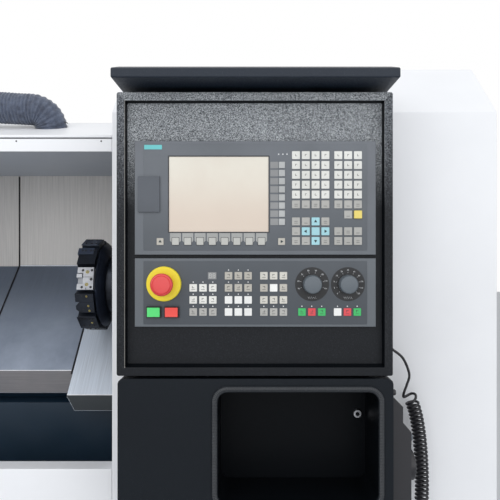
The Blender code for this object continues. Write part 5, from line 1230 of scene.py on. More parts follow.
@dataclass
class UpperPlate:
    """Screen plate with its soft keys, letter and number keys, cursor keys and data port."""

    key_size: float = 0.0138
    key_pitch: float = 0.01705
    row_pitch: float = 0.01711
    first_x: float = 0.2807
    second_x: float = 0.3543
    first_drop: float = 0.0249
    lower_rows: tuple[float, float, float] = (6.73, 7.73, 8.71)
    reset_row: float = 6.03
    soft_pitch: float = 0.01412
    soft_drop: float = 0.0419
    soft_x: float = 0.2563
    soft_well_x: float = 0.2431
    menu_x: float = 0.0712
    menu_pitch: float = 0.02137
    menu_drop: float = 0.1746
    port_x: float = 0.0250
    port_drop: float = 0.0928
    corner_keys: tuple[tuple[float, float], ...] = ((0.0445, 0.1750), (0.2557, 0.1750))

    def build(self) -> None:
        """Builds the plate and all that is on it."""
        plate = OperatorPlate.on("upper_plate")
        strip = plate.sheet()
        face = plate.face()
        low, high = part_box("screen_glass")
        grow = Vector((0.0003, 0.01, 0.0003))
        window = block("tool", low - grow, high + grow)
        second = block("tool", low - grow, high + grow)
        cut(face, window)
        cut(strip, second)
        self.cut_port(plate, strip, face)
        self.cut_reset(plate, strip, face)
        give(strip, STRIP, Body.FRAME, ("upper_plate",))
        give(face, FOIL, Body.FRAME)
        self.add_bezel(plate, low, high)
        self.add_badge(plate)
        dress("screen_glass", SCREEN)
        self.add_keys(plate)
        self.add_soft_keys(plate)
        self.add_port(plate)
        plate.lamps([(x, 0.0230) for x in (0.2507, 0.2581, 0.2652)], 0.0011)

    @staticmethod
    def add_bezel(plate: OperatorPlate, low: Vector, high: Vector) -> None:
        """Adds the thin dark bezel round the screen."""
        wide = Vector((0.0018, 0, 0.0018))
        front = Vector((low.x, plate.front - 0.0005, low.z))
        bezel = block("screen_bezel", front - wide, Vector((high.x, plate.front + 0.0005, high.z)) + wide)
        grow = Vector((0.0002, 0.01, 0.0002))
        cut(bezel, block("tool", low - grow, high + grow))
        round_all(bezel, 0.0003, 2)
        give(bezel, BEZEL, Body.FRAME)

    @staticmethod
    def add_badge(plate: OperatorPlate) -> None:
        """Adds the small bare plate at the upper left."""
        badge = block("bare_badge", plate.at(0.0167, 0.0147, 0.0004), plate.at(0.0476, 0.0069, -0.0004))
        round_sides(badge, 0.0005, 2)
        give(badge, BADGE, Body.FRAME)

    def rows(self, shares: Iterable[float]) -> list[float]:
        """Each row's drop below the plate's top."""
        return [self.first_drop + share * self.row_pitch for share in shares]

    def add_keys(self, plate: OperatorPlate) -> None:
        """Adds the light, grey and cyan keys, the reset key and their printed marks."""
        letters = [self.first_x + k * self.key_pitch for k in range(4)]
        numbers = [self.second_x + k * self.key_pitch for k in range(3)]
        light = [(x, drop) for drop in self.rows(range(5)) for x in letters + numbers]
        up, across, down = self.rows(self.lower_rows)
        cyan = [(letters[2], up), (letters[1], across), (letters[2], across), (letters[3], across)]
        cyan.append((letters[2], down))
        grey = [(x, self.rows((5,))[0]) for x in letters + numbers]
        grey += [(numbers[1], self.rows((self.reset_row,))[0])]
        grey += [(letters[k], up) for k in (0, 1, 3)]
        grey += [(letters[0], across)]
        grey += [(letters[k], down) for k in (0, 1, 3)]
        grey += [(x, drop) for drop in (across, down) for x in numbers]
        size = self.key_size
        plate.keys(KeyKind.LIGHT, light, size, size)
        plate.keys(KeyKind.GREY, grey, size, size)
        plate.keys(KeyKind.BEIGE, self.corner_keys, 0.0119, 0.0119)
        plate.keys(KeyKind.CYAN, cyan, size, size)
        self.print_marks(plate, light, grey)
        self.print_arrows(plate, letters, (up, across, down))
        reset = plate.key(size, size, 0.0032)
        reset.data.transform(Matrix.Translation((numbers[2], 0, -self.rows((self.reset_row,))[0])))
        give(reset, YELLOW_KEY, Body.RESET, ("reset_key",))

    def print_marks(
        self, plate: OperatorPlate, light: list[tuple[float, float]], grey: list[tuple[float, float]]
    ) -> None:
        """Prints a small plain mark on each key, in place of its legend."""
        tall = stroke(plate, 0.0007, 0.0038)
        joined = copies("tall_marks", tall, [(x - 0.0009, 0, -drop) for x, drop in light])
        flat = stroke(plate, 0.0028, 0.0007)
        spots = [(x + 0.0004, 0, -drop - 0.0013 * (1 - 2 * (k % 2))) for k, (x, drop) in enumerate(light)]
        joined = join("key_marks", (joined, copies("flat_marks", flat, spots)))
        give(joined, MARK, Body.FRAME)
        wide = stroke(plate, 0.0058, 0.0007)
        lines = [(x, 0, -drop - 0.0030) for x, drop in grey]
        lines += [(x, 0, -drop + 0.0002) for x, drop in grey[::2]]
        give(copies("grey_key_marks", wide, lines), MARK, Body.FRAME)

    def print_arrows(self, plate: OperatorPlate, columns: list[float], drops: Sequence[float]) -> None:
        """Prints the cursor arrows."""
        up, across, down = drops
        places = (
            (columns[2], up, 0.0),
            (columns[1], across, math.pi / 2),
            (columns[3], across, -math.pi / 2),
            (columns[2], down, math.pi),
            (*self.corner_keys[0], 0.0),
            (*self.corner_keys[1], -math.pi / 2),
        )
        made = []
        for x, drop, angle in places:
            centre = plate.at(x, drop, KEY_PROUD - PRINT_LOW)
            bpy.ops.mesh.primitive_cylinder_add(
                vertices=3, radius=0.0031, depth=0.0006, location=centre, rotation=(math.pi / 2, 0, 0)
            )
            piece = settle("arrow")
            made.append(turn_about(piece, centre, -angle, "Y"))
        give(join("cursor_arrows", made), ARROW, Body.FRAME)

    def add_soft_keys(self, plate: OperatorPlate) -> None:
        """Adds the keys beside and under the screen, each with its lighter well."""
        drops = [self.soft_drop + k * self.soft_pitch for k in range(8)]
        plate.keys(KeyKind.SOFT, [(self.soft_x, drop) for drop in drops], 0.0106, 0.0111)
        centre = plate.at(0, 0)
        well = slab("well", centre, 0.0139, 0.0113, 0.0004, 0.0004)
        round_front(well, plate.front, 0.0003)
        give(copies("side_wells", well, [(self.soft_well_x, 0, -drop) for drop in drops]), SOFT_WELL, Body.FRAME)
        columns = [self.menu_x + k * self.menu_pitch for k in range(8)]
        spots = [(x, 0, -self.menu_drop) for x in columns]
        give(copies("menu_keys", plate.key(0.0119, 0.0125), spots), MENU_KEY, Body.FRAME)
        edge = slab("edge", centre, 0.0132, 0.0138, 0.0007, 0.0004)
        round_front(edge, plate.front, 0.0002)
        give(copies("menu_key_borders", edge, spots), BEZEL, Body.FRAME)
        tab = slab("tab", centre, 0.0194, 0.0174, 0.0004, 0.0004)
        round_edges(tab, lambda middle, way: abs(way.y) > ALONG and middle.z < centre.z, 0.0040, 1)
        round_edges(tab, lambda middle, way: middle.y < plate.front and abs(way.y) < 0.5, 0.0003, 2)
        give(copies("menu_tabs", tab, [(x, 0, z + 0.0057) for x, _, z in spots]), MENU_TAB, Body.FRAME)

    def cut_port(self, plate: OperatorPlate, *sheets: bpy.types.Object) -> None:
        """Cuts the data port's recess behind its cover."""
        for sheet in sheets:
            cut(sheet, plate.pocket(self.port_x, self.port_drop, 0.0259, 0.0503, 0.0030))

    def cut_reset(self, plate: OperatorPlate, *sheets: bpy.types.Object) -> None:
        """Cuts the hole that the reset key moves in."""
        x = self.second_x + 2 * self.key_pitch
        drop = self.first_drop + self.reset_row * self.row_pitch
        size = self.key_size + 2 * GAP
        for sheet in sheets:
            cut(sheet, plate.pocket(x, drop, size, size, 0.01))

    def add_port(self, plate: OperatorPlate) -> None:
        """Adds the port cover on its own hinge, and the sockets behind it."""
        low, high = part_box("port_cover")
        lid = block("port_lid", low, high)
        round_sides(lid, 0.0012)
        round_front(lid, low.y + MERGE, 0.0006)
        give(lid, PORT, Body.PORT, ("port_cover",))
        centre = plate.at(self.port_x, self.port_drop)
        holes = []
        for offset in (-0.012, 0.012):
            socket = slab("socket", centre + Vector((0, 0.0008, offset)), 0.0120, 0.0056, 0, 0.0021)
            dish(socket, 0.0010, 0.0012)
            holes.append(socket)
        give(join("port_sockets", holes), GROUND, Body.FRAME)


@dataclass
class LowerPlate:
    """Machine control plate: emergency stop, start and stop, key groups and two override dials."""

    key_size: float = 0.0131
    key_pitch: float = 0.0170
    row_pitch: float = 0.0210
    first_drop: float = 0.0303
    groups: tuple[float, float, float] = (0.1021, 0.1635, 0.2249)
    colour_xs: tuple[float, ...] = (0.2911, 0.3082, 0.3255, 0.3531, 0.3702, 0.3872)
    display_x: float = 0.1350
    lamp_rise: float = 0.0099
    button_xs: tuple[float, float] = (0.0338, 0.0648)
    button_drop: float = 0.0932
    button_width: float = 0.0226
    button_height: float = 0.0167
    dial_drop: float = 0.0450
    dial_radius: float = 0.0296

    def build(self) -> None:
        """Builds the plate and all that is on it."""
        plate = OperatorPlate.on("lower_plate", top_margin=0.0047, bottom_margin=0.0042)
        strip = plate.sheet()
        face = plate.face()
        for x in self.button_xs:
            for sheet in (strip, face):
                wide, tall = self.button_width + 2 * GAP, self.button_height + 2 * GAP
                cut(sheet, plate.pocket(x, self.button_drop, wide, tall, 0.01))
        give(strip, STRIP, Body.FRAME, ("lower_plate",))
        give(face, FOIL, Body.FRAME)
        self.add_keys(plate)
        self.add_display(plate)
        self.add_button(plate, self.button_xs[0], "start_button", GREEN_CAP, GREEN_SIDE_SHADE, Body.START)
        self.add_button(plate, self.button_xs[1], "stop_button", RED_CAP, RED_SIDE_SHADE, Body.STOP)
        self.add_estop()
        self.add_dial("feed_knob", ("50", "60", "70", "80", "90", "100", "110", "120"), 198, Body.FEED)
        numbers = ("0", "2", "6", "10", "20", "40", "60", "80", "100", "110", "120")
        self.add_dial("speed_knob", numbers, 222, Body.SPEED)

    def add_keys(self, plate: OperatorPlate) -> None:
        """Adds the key groups, their lamps and printed marks."""
        kinds: dict[KeyKind, list[tuple[float, float]]] = {kind: [] for kind in KeyKind}
        lamps = []
        for group, first in enumerate(self.groups):
            for row in range(1 if group == 0 else 0, 4):
                for column in range(3):
                    place = (first + column * self.key_pitch, self.first_drop + row * self.row_pitch)
                    kinds[self.kind_of(group, row, column)].append(place)
                    if group < 2 or row == 3:
                        lamps.append((place[0], place[1] - self.lamp_rise))
        last = self.first_drop + 3 * self.row_pitch
        order = (KeyKind.GREEN, KeyKind.RED, KeyKind.GREEN, KeyKind.WHITE, KeyKind.RED, KeyKind.GREEN)
        for x, kind in zip(self.colour_xs, order):
            kinds[kind].append((x, last))
            lamps.append((x, last - self.lamp_rise))
        for kind, places in kinds.items():
            if places:
                plate.keys(kind, places, self.key_size, self.key_size)
        plate.lamps(lamps)
        printed = [place for kind, places in kinds.items() if kind is not KeyKind.WHITE for place in places]
        bar = stroke(plate, 0.0062, 0.0007)
        bars = copies("bars", bar, [(x, 0, -drop - 0.0031) for x, drop in printed])
        hook = stroke(plate, 0.0008, 0.0036)
        hooks = [(x - 0.0016 + 0.0032 * (k % 2), 0, -drop + 0.0012) for k, (x, drop) in enumerate(printed)]
        dash = stroke(plate, 0.0040, 0.0008)
        dashes = [(x, 0, -drop + 0.0024 - 0.0024 * (k % 3 == 0)) for k, (x, drop) in enumerate(printed)]
        marks = join("panel_marks", (bars, copies("hooks", hook, hooks), copies("dashes", dash, dashes)))
        give(marks, MARK, Body.FRAME)

    @staticmethod
    def kind_of(group: int, row: int, column: int) -> KeyKind:
        """The colour of a key in a group."""
        if group == 0:
            return KeyKind.LIGHT if row < 3 else KeyKind.GREY
        if group == 1:
            return KeyKind.BEIGE if row < 2 else KeyKind.WHITE
        if (row, column) == (1, 1):
            return KeyKind.WHITE
        return (KeyKind.CREAM, KeyKind.BEIGE, KeyKind.CREAM, KeyKind.GREY)[row]

    def add_display(self, plate: OperatorPlate) -> None:
        """Adds the two-figure display, whose bars are off."""
        centre = plate.at(self.display_x, self.first_drop)
        frame = slab("display", centre, 0.0148, 0.0122, 0.0008, 0.0008)
        dish(frame, 0.0006, 0.0003)
        give(frame, SOFT_WELL, Body.FRAME)
        across = stroke(plate, 0.0034, 0.0005, 0.0005)
        columns = (self.display_x - 0.0032, self.display_x + 0.0032)
        offsets = [(x, 0, -self.first_drop + z) for x in columns for z in (-0.0036, 0, 0.0036)]
        flat = copies("flat_bars", across, offsets)
        upright = stroke(plate, 0.0005, 0.0028, 0.0005)
        offsets = [
            (x + side, 0, -self.first_drop + z)
            for x in columns
            for side in (-0.0019, 0.0019)
            for z in (-0.0018, 0.0018)
        ]
        tall = copies("tall_bars", upright, offsets)
        give(join("display_bars", (flat, tall)), LIGHT_KEY, Body.FRAME)

    def add_button(self, plate: OperatorPlate, x: float, node: str, finish: Finish, side_shade: Finish, body: Body) -> None:
        """Adds a square push button and the black frame round it."""
        centre = plate.at(x, self.button_drop)
        frame = slab(f"{node}_frame", centre, self.button_width + 0.004, self.button_height + 0.004, 0.003, 0.0005)
        round_sides(frame, 0.0012)
        wide, tall = self.button_width + 2 * GAP, self.button_height + 2 * GAP
        cut(frame, plate.pocket(x, self.button_drop, wide, tall, 0.02))
        round_all(frame, 0.0004)
        give(frame, BLACK, Body.FRAME)
        low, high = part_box(node)
        cap = block(f"{node}_cap", low, high)
        dish(cap, 0.0030, 0.0003)
        round_sides(cap, 0.0012)
        round_front(cap, low.y + MERGE, 0.0012, 3)
        give(cap, finish, body, (node,))
        # Painted shade: the cap's sides get a dark copy of its colour.
        also(cap, side_shade, lambda centre, normal: abs(normal.y) < 0.9)

    def add_estop(self) -> None:
        """Adds the yellow collar and the red mushroom button."""
        low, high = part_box("estop_collar")
        centre = seat_of("estop_collar")
        radius, thick = (high.x - low.x) / 2, high.y - low.y
        rim = [(radius - 0.0032, thick), (radius - 0.0012, thick * 0.9), (radius - 0.0002, thick * 0.7)]
        profile = [(0.0125, thick - 0.0006), (0.0140, thick), *rim, (radius, 0), (0.0125, 0)]
        give(turned("estop_plate", (*profile, profile[0]), centre, "Y", 64), COLLAR, Body.FRAME, ("estop_collar",))
        low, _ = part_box("estop_button")
        height = centre.y - low.y
        cap = [(0, height), (0.0120, height - 0.0001), (0.0148, height - 0.0004), (0.0153, height - 0.0016)]
        cap += [(0.0158, height - 0.0010), (0.0180, height - 0.0020), (0.0193, height - 0.0046)]
        cap += [(0.0192, height - 0.0080), (0.0187, height - 0.0130), (0.0178, height - 0.0168)]
        cap += [(0.0166, height - 0.0180), (0.0120, height - 0.0180), (0.0118, thick - 0.001), (0, thick - 0.001)]
        give(turned("estop_mushroom", cap, centre, "Y", 64), MUSHROOM, Body.ESTOP, ("estop_button",))

    def add_dial(self, node: str, numbers: Sequence[str], start: float, body: Body) -> None:
        """Adds a black dial with figures, ticks and a wave mark, and the knob on it.

        Args:
            node: The CAD knob's name.
            numbers: The figures, clockwise.
            start: The first figure's angle in degrees, counted from the right.
            body: The knob's own body.
        """
        centre = seat_of(node)
        back, front = centre + Vector((0, 0.0008, 0)), centre + Vector((0, 0.00005, 0))
        disc = drum(f"{node}_dial", back, front, self.dial_radius, 64)
        round_front(disc, centre.y + 0.0001, 0.0002, 1)
        give(disc, DIAL, Body.FRAME)
        sweep = 2 * start - 180
        made = []
        for number, words in enumerate(numbers):
            angle = math.radians(start - sweep * number / (len(numbers) - 1))
            way = Vector((math.cos(angle), 0, math.sin(angle)))
            made.append(self.figure(words, centre + way * 0.0244))
            tick = block("tick", centre + Vector((0.0192, -0.0002, -0.0002)), centre + Vector((0.0214, 0.0004, 0.0002)))
            made.append(turn_about(tick, centre, -angle, "Y"))
        wave = [centre + Vector((0.0016 * k - 0.0072, 0, -0.0236 + 0.0017 * (-1) ** k)) for k in range(10)]
        made.append(to_mesh(tube("wave", wave, 0.00032, resolution=1)))
        give(join(f"{node}_print", made), PRINT, Body.FRAME)
        self.add_knob(node, centre, body)

    @staticmethod
    def figure(words: str, place: Vector) -> bpy.types.Object:
        """Adds one printed figure, centred there and facing the operator."""
        bpy.ops.object.text_add(location=place + Vector((0, -0.00005, 0)), rotation=(math.pi / 2, 0, 0))
        text = bpy.context.object
        text.data.body = words
        text.data.size = 0.0036
        text.data.align_x = "CENTER"
        text.data.align_y = "CENTER"
        text.data.extrude = 0.0001
        text.data.resolution_u = 2
        return to_mesh(text)

    @staticmethod
    def add_knob(node: str, centre: Vector, body: Body) -> None:
        """Adds a knob with a crowned face."""
        low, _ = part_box(node)
        height = centre.y - low.y
        profile = [(0, height), (0.0120, height - 0.0003), (0.0145, height - 0.0012), (0.0158, height - 0.0030)]
        profile += [(0.0162, height - 0.0060), (0.0165, 0.0012), (0.0165, 0), (0, 0)]
        give(turned(f"{node}_cap", profile, centre, "Y", 72), KNOB, body, (node,))


@dataclass
class Console:
    """Console housing, visor, lower console with its pocket, and the cord gland."""

    rim: float = 0.0144
    flare: float = 0.0016
    ledge: float = 0.0028
    depth: float = 0.015
    gland_reach: float = 0.014

    def build(self) -> None:
        """Builds the console's bodies."""
        self.add_housing()
        self.add_gland()
        cover("console_visor", VISOR_PAINT, width=0.0025, steps=3)
        self.add_lower()

    def add_housing(self) -> None:
        """Adds the housing: a rim round the sunk field, whose lower wall slopes out to a ledge."""
        low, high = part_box("console_housing")
        right = high.x - self.gland_reach
        piece = block("housing_shell", low, (right, high.y, high.z))
        front = low.y
        facing = self.faces_at(front)
        inset(piece, facing, self.rim)
        middle = Vector(((low.x + right) / 2, front, (low.z + high.z) / 2))
        inset(piece, lambda c, n: facing(c, n) and (c - middle).length < 0.001, self.flare, -self.depth)
        floor = front + self.depth
        pick_edges(piece, lambda m, d: abs(m.y - floor) < MERGE and m.z < middle.z and abs(d.x) > 0.9)
        bpy.ops.transform.translate(value=(0, 0, self.ledge))
        leave()
        round_edges(piece, lambda m, d: self.outer_edge(m, d, low, right, high), 0.0035, 3)
        round_all(piece, 0.0009, 2, 20)
        give(piece, HAMMERTONE, Body.FRAME, ("console_housing",))
        edge = low.x + self.rim
        # The side rims take the rim copy of the paint, with its own painted sheen towards the top.
        also(piece, RIM_PAINT, lambda c, n: c.x < edge - 0.001 or c.x > right - self.rim + 0.001)
        inner = low.x + 0.001
        # Painted shade: the walls of the sunk field get the near-black copy.
        also(piece, POCKET_SHADE, lambda c, n: front + 0.001 < c.y < floor - 0.001 and abs(n.y) < 0.6 and c.x > inner)
        # Painted highlight: the left rim's inner edge faces get a light colour.
        also(piece, RIM_EDGE_HIGHLIGHT, lambda c, n: abs(c.x - edge) < 0.0011 and 0.3 < -n.y < 0.98)

    @staticmethod
    def faces_at(depth: float) -> Test:
        """A test for faces towards the operator at that depth."""
        return lambda centre, normal: normal.y < -FACING and abs(centre.y - depth) < MERGE

    @staticmethod
    def outer_edge(middle: Vector, way: Vector, low: Vector, right: float, high: Vector) -> bool:
        """Whether an edge is one of the box's four long outer corners."""
        if abs(way.y) < ALONG:
            return False
        at_side = min(abs(middle.x - low.x), abs(middle.x - right)) < MERGE
        return at_side and min(abs(middle.z - low.z), abs(middle.z - high.z)) < MERGE

    def add_gland(self) -> None:
        """Adds the cord gland in the housing's right side."""
        _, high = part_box("console_housing")
        start = high.x - self.gland_reach
        profile = [(0, 0.0137), (0.0036, 0.0137), (0.0040, 0.0110), (0.0056, 0.0100), (0.0058, 0.0050)]
        profile += [(0.0072, 0.0045), (0.0074, 0.0012), (0.0082, 0.0010), (0.0082, 0), (0, 0)]
        give(turned("cord_gland", profile, (start, -0.66, 1.110), "X", 24), BLACK, Body.FRAME)

    def add_lower(self) -> None:
        """Adds the lower console, with painted shade inside its pocket and a ribbed trim round it."""
        piece = cover("lower_console", TEXTURED, width=0.0018)
        # Painted shade: the pocket's inside gets the near-black copy.
        also(piece, POCKET_SHADE, lambda c, n: c.y > -0.765 and 0.59 < c.x < 0.885 and 0.85 < c.z < 1.06)
        self.add_trim()
        ring = [(0.0040, 0.0064), (0.0072, 0.0064), (0.0078, 0.0055), (0.0078, 0.0005), (0.0040, 0.0005)]
        knob = [(0, 0.0105), (0.0040, 0.0105), (0.0054, 0.0088), (0.0056, 0.0020), (0.0056, 0), (0, 0)]
        give(turned("side_knob", knob, (0.9035, -0.745, 1.0459), "X", 24), BLACK, Body.FRAME)
        give(turned("pocket_socket", (*ring, ring[0]), (0.862, -0.66, 0.984), "Y", 32), GROUND, Body.FRAME)

    @staticmethod
    def add_trim() -> None:
        """Adds the edge trim: a rubber bead with fine ribs along the pocket's rim."""
        radius, pitch = 0.0057, 0.0013
        corners = rounded_loop((0.5948, 0.8832, 0.8548, 1.0582), 0.0222, -0.7700, 8)
        points = []
        for start, end in zip(corners, corners[1:] + corners[:1]):
            count = max(1, round((end - start).length / pitch))
            points += [start.lerp(end, k / count) for k in range(count)]
        if len(points) % 2:
            points.pop()
        swell = [1.0 if k % 2 else 0.88 for k in range(len(points))]
        trim = to_mesh(tube("pocket_trim", points, radius, swell, closed=True, resolution=2))
        give(trim, TRIM, Body.FRAME)


@dataclass
class Handset:
    """Hand-held unit in its holder at the console's right side."""

    def build(self) -> None:
        """Builds the case, wheel and selector."""
        cover("handset_body", BLACK, width=0.002, steps=3)
        low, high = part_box("handset_wheel")
        centre = Vector((low.x, (low.y + high.y) / 2, (low.z + high.z) / 2))
        thick = high.x - low.x
        profile = [(0, thick - 0.003), (0.0200, thick - 0.003), (0.0215, thick - 0.0004), (0.0235, thick)]
        profile += [(0.0262, thick - 0.0012), (0.0270, thick - 0.003), (0.0268, 0.001), (0.0258, 0), (0, 0)]
        give(turned("handwheel", profile, centre, "X", 64), BLACK, Body.WHEEL, ("handset_wheel",))
        low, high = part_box("handset_selector")
        centre = Vector((low.x, (low.y + high.y) / 2, (low.z + high.z) / 2))
        profile = [(0, 0.0110), (0.0056, 0.0110), (0.0066, 0.0100), (0.0072, 0.0030), (0.0079, 0.0020)]
        profile += [(0.0079, 0), (0, 0)]
        give(turned("selector_cap", profile, centre, "X", 32), KNOB, Body.SELECTOR, ("handset_selector",))


@dataclass
class Turret:
    """Turret disc, its tool holders and their nozzles."""

    tilt: float = 11.4
    stations: int = 12
    flat: float = 0.088
    holder_width: float = 0.0455
    flange_room: float = 0.0053

    def build(self, frame: dict) -> None:
        """Builds the disc and everything clamped to it.

        Args:
            frame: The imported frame, whose index joint gives the turret's axis.
        """
        low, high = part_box("turret_disc")
        self.left, self.right = low.x + 0.006, high.x
        joint = next(item for item in frame["joints"] if item["name"] == "turret_index")
        self.centre = Vector((0, joint["pos_m"][1], joint["pos_m"][2]))
        self.add_disc()
        self.add_holders()
        self.add_boring_holder()
        cover("turret_housing", BLACKENED, Body.CROSS_SLIDE, 0.002, 3)

    def turn(self, station: int) -> float:
        """A station's turn about X, from facing the operator."""
        return -math.radians(self.tilt + 360 * station / self.stations)

    def add_disc(self) -> None:
        """Adds the twelve-sided disc, its smooth flange and its hub."""
        across = self.flat / math.cos(math.pi / self.stations)
        start = self.centre + Vector((self.left, 0, 0))
        end = self.centre + Vector((self.right - 0.004, 0, 0))
        disc = drum("disc", start, end, across, self.stations)
        first = next(f for f in disc.data.polygons if abs(f.normal.x) < 0.5)
        angle = math.atan2(first.normal.z, -first.normal.y)
        turn_about(disc, self.centre, angle - math.radians(self.tilt), "X")
        round_all(disc, 0.0015, 2)
        wide = 0.098
        profile = [(0.0705, 0.0050), (0.0705, 0.0170), (0.0760, 0.0168), (0.0840, 0.0145), (0.0905, 0.0105)]
        profile += [(wide - 0.0030, 0.0058), (wide - 0.0012, 0.0042)]
        profile += [(wide, 0.0022), (wide - 0.0004, 0.0006), (wide - 0.0012, 0), (0.0705, 0)]
        flange = turned("flange", (*profile, profile[0]), self.centre + Vector((self.right - 0.005, 0, 0)), "X", 96)
        hub = [(0, -0.006), (0.030, -0.006), (0.032, -0.0052), (0.043, -0.0052), (0.045, -0.004)]
        hub += [(0.045, 0.001), (0, 0.001)]
        face = turned("hub", hub, self.centre + Vector((self.left, 0, 0)), "X", 64)
        give(join("turret_wheel", (disc, flange, face)), DISC_STEEL, Body.TURRET, ("turret_disc",))

    def bar(self, first: float, last: float, foot: float, top: float, low: float, high: float) -> bpy.types.Object:
        """Models a bar at the front of the disc: along X, out from the axis, and up."""
        near = self.centre + Vector((self.left + first, -top, low))
        return block("bar", near, self.centre + Vector((self.left + last, -foot, high)))

    def screws(self, spots: Sequence[tuple[float, float]], height: float, radius: float = 0.0026) -> bpy.types.Object:
        """Models socket screws in the front of a holder, sunk in their counterbores."""
        socket = radius * 0.5
        ring = [(0, -0.0014), (socket, -0.0014), (socket, 0.0004), (radius * 0.92, 0.0004), (radius, 0)]
        ring += [(radius, -0.0022), (0, -0.0022)]
        outer = self.centre.y - self.flat - GAP - height
        made = []
        for along, up in spots:
            place = Vector((self.left + along, outer - 0.0003, self.centre.z + up))
            made.append(turned("screw", ring, place, "Y", 16))
        return join("screws", made)

    def nozzle(self, spots: Sequence[tuple[float, float]], height: float, size: float) -> bpy.types.Object:
        """Models brass coolant plugs in the front of a holder: a raised rim round a dark bore."""
        ring = [(0.25, -0.001), (0.25, 0.0004), (0.42, 0.0010), (0.56, 0.0003), (0.70, 0.0002), (0.84, 0.0009)]
        ring += [(1.0, 0.0003), (1.0, -0.001)]
        made = []
        for along, up in spots:
            outer = self.centre.y - self.flat - GAP - height
            place = Vector((self.left + along, outer - 0.0002, self.centre.z + up))
            profile = [(share * size, rise) for share, rise in ring]
            made.append(turned("nozzle", (*profile, profile[0]), place, "Y", 20))
        return join("nozzles", made)

    def add_holders(self) -> None:
        """Adds the black holders all round, with screws, clamping bars and nozzles."""
        blocks, bars, screws, nozzles = [], [], [], []
        end = self.right - self.left - self.flange_room
        for station in range(1, self.stations - 1):
            angle = self.turn(station)
            height = 0.020 - 0.004 * (station % 2) * (station > 1)
            foot, half = self.flat + GAP, self.holder_width / 2
            top = foot + height
            piece = self.bar(0.0003, end, foot, top, -half, half)
            round_all(piece, 0.0010, 2)
            blocks.append(turn_about(piece, self.centre, angle, "X"))
            if station > 1:
                clamp = self.bar(-0.002, end - 0.004, top - 0.0005, top + 0.0008, -half + 0.001, half - 0.001)
            else:
                clamp = self.bar(-0.003, end - 0.008, top - 0.008, top + 0.0012, 0.0045, half - 0.0002)
            round_all(clamp, 0.0006, 2)
            (bars if station < 4 else blocks).append(turn_about(clamp, self.centre, angle, "X"))
            spots = ((0.007, 0.0150), (0.014, 0.0150), (0.026, 0.0150), (0.033, 0.0150))
            spots += ((0.007, -0.0120), (0.020, -0.0120), (0.031, -0.0120)) if station > 1 else ()
            screws.append(turn_about(self.screws(spots, height + 0.0012), self.centre, angle, "X"))
            if station in (5, 7, 10):
                plug = self.nozzle(((0.0289, 0.001),), height + 0.0010, 0.0024)
                nozzles.append(turn_about(plug, self.centre, angle, "X"))
        give(join("black_holders", blocks), BLACKENED, Body.TURRET, ("turning_holder",))
        give(join("clamping_bars", bars), BLUED, Body.TURRET)
        self.add_drill_holder(end, screws, nozzles)
        give(join("holder_screws", screws), BLACK, Body.TURRET)
        give(join("coolant_nozzles", nozzles), BRASS, Body.TURRET)

    def add_drill_holder(self, end: float, screws: list[bpy.types.Object], nozzles: list[bpy.types.Object]) -> None:
        """Adds the drill holder: a straight upper half and a lower half with chamfered corners."""
        angle, foot, half = self.turn(self.stations - 1), self.flat + GAP, self.holder_width / 2
        upper = self.bar(0, end, foot, foot + 0.020, 0.0032, half)
        lower = self.bar(0, end, foot, foot + 0.020, -half, 0.0030)
        left = self.left + MERGE
        round_edges(lower, lambda m, d: abs(d.y) > 0.9 and m.x < left and m.z > self.centre.z, 0.0090, 1)
        round_edges(lower, lambda m, d: abs(d.y) > 0.9 and m.x < left and m.z < self.centre.z - 0.02, 0.0080, 1)
        piece = join("drill_block", (upper, lower))
        round_all(piece, 0.0007, 2)
        give(turn_about(piece, self.centre, angle, "X"), BLACKENED, Body.TURRET, ("drill_holder",))
        spots = ((0.0152, 0.0185), (0.0370, 0.0185), (0.0365, 0.0065), (0.0168, -0.0140), (0.0365, -0.0140))
        screws.append(turn_about(self.screws(spots, 0.020, 0.0018), self.centre, angle, "X"))
        spots = ((0.0259, 0.0170), (0.0282, -0.0060), (0.0298, -0.0178))
        nozzles.append(turn_about(self.nozzle(spots, 0.020, 0.0024), self.centre, angle, "X"))

    def add_boring_holder(self) -> None:
        """Adds the bright boring holder with its notch, cut-off bar end, plugs and screw holes."""
        end, foot, height, half = self.right - self.left - self.flange_room, self.flat + GAP, 0.0203, 0.025
        piece = self.bar(0.005, end, foot, foot + height, -half, half)
        pick_faces(piece, lambda c, n: n.y > 0.99)
        bpy.ops.transform.resize(value=(1, 1, 0.91))
        leave()
        top = foot + height
        tools = [self.bar(0, 0.018, top - 0.0067, top + 0.01, -0.0125, 0.0125)]
        tools.append(self.bar(0.0175, 0.05, top - 0.0040, top + 0.01, 0.0026, 0.0038))
        holes = ((0.0171, 0.0185, 0.0029), (0.0371, 0.0185, 0.0029), (0.0162, -0.0193, 0.0029))
        holes += ((0.0359, -0.0193, 0.0029), (0.0363, -0.0016, 0.0034), (0.0263, -0.0226, 0.0026))
        for along, up, radius in holes:
            start = self.centre + Vector((self.left + along, -top - 0.002, up))
            tools.append(drum("tool", start, start + Vector((0, 0.0045, 0)), radius, 24))
        cut(piece, *tools)
        round_all(piece, 0.0005, 2)
        stub = self.bar(0.003, 0.0152, top - 0.0069, top - 0.0006, 0.0022, 0.0108)
        round_all(stub, 0.0006, 2)
        angle = self.turn(0)
        turn_about(join("boring_block", (piece, stub)), self.centre, angle, "X")
        give(piece, SILVER, Body.TURRET, ("boring_holder",))
        wells = [self.screws(((along, up),), height - 0.0012, radius - 0.0001) for along, up, radius in holes[:5]]
        give(turn_about(join("boring_screws", wells), self.centre, angle, "X"), BLACK, Body.TURRET)
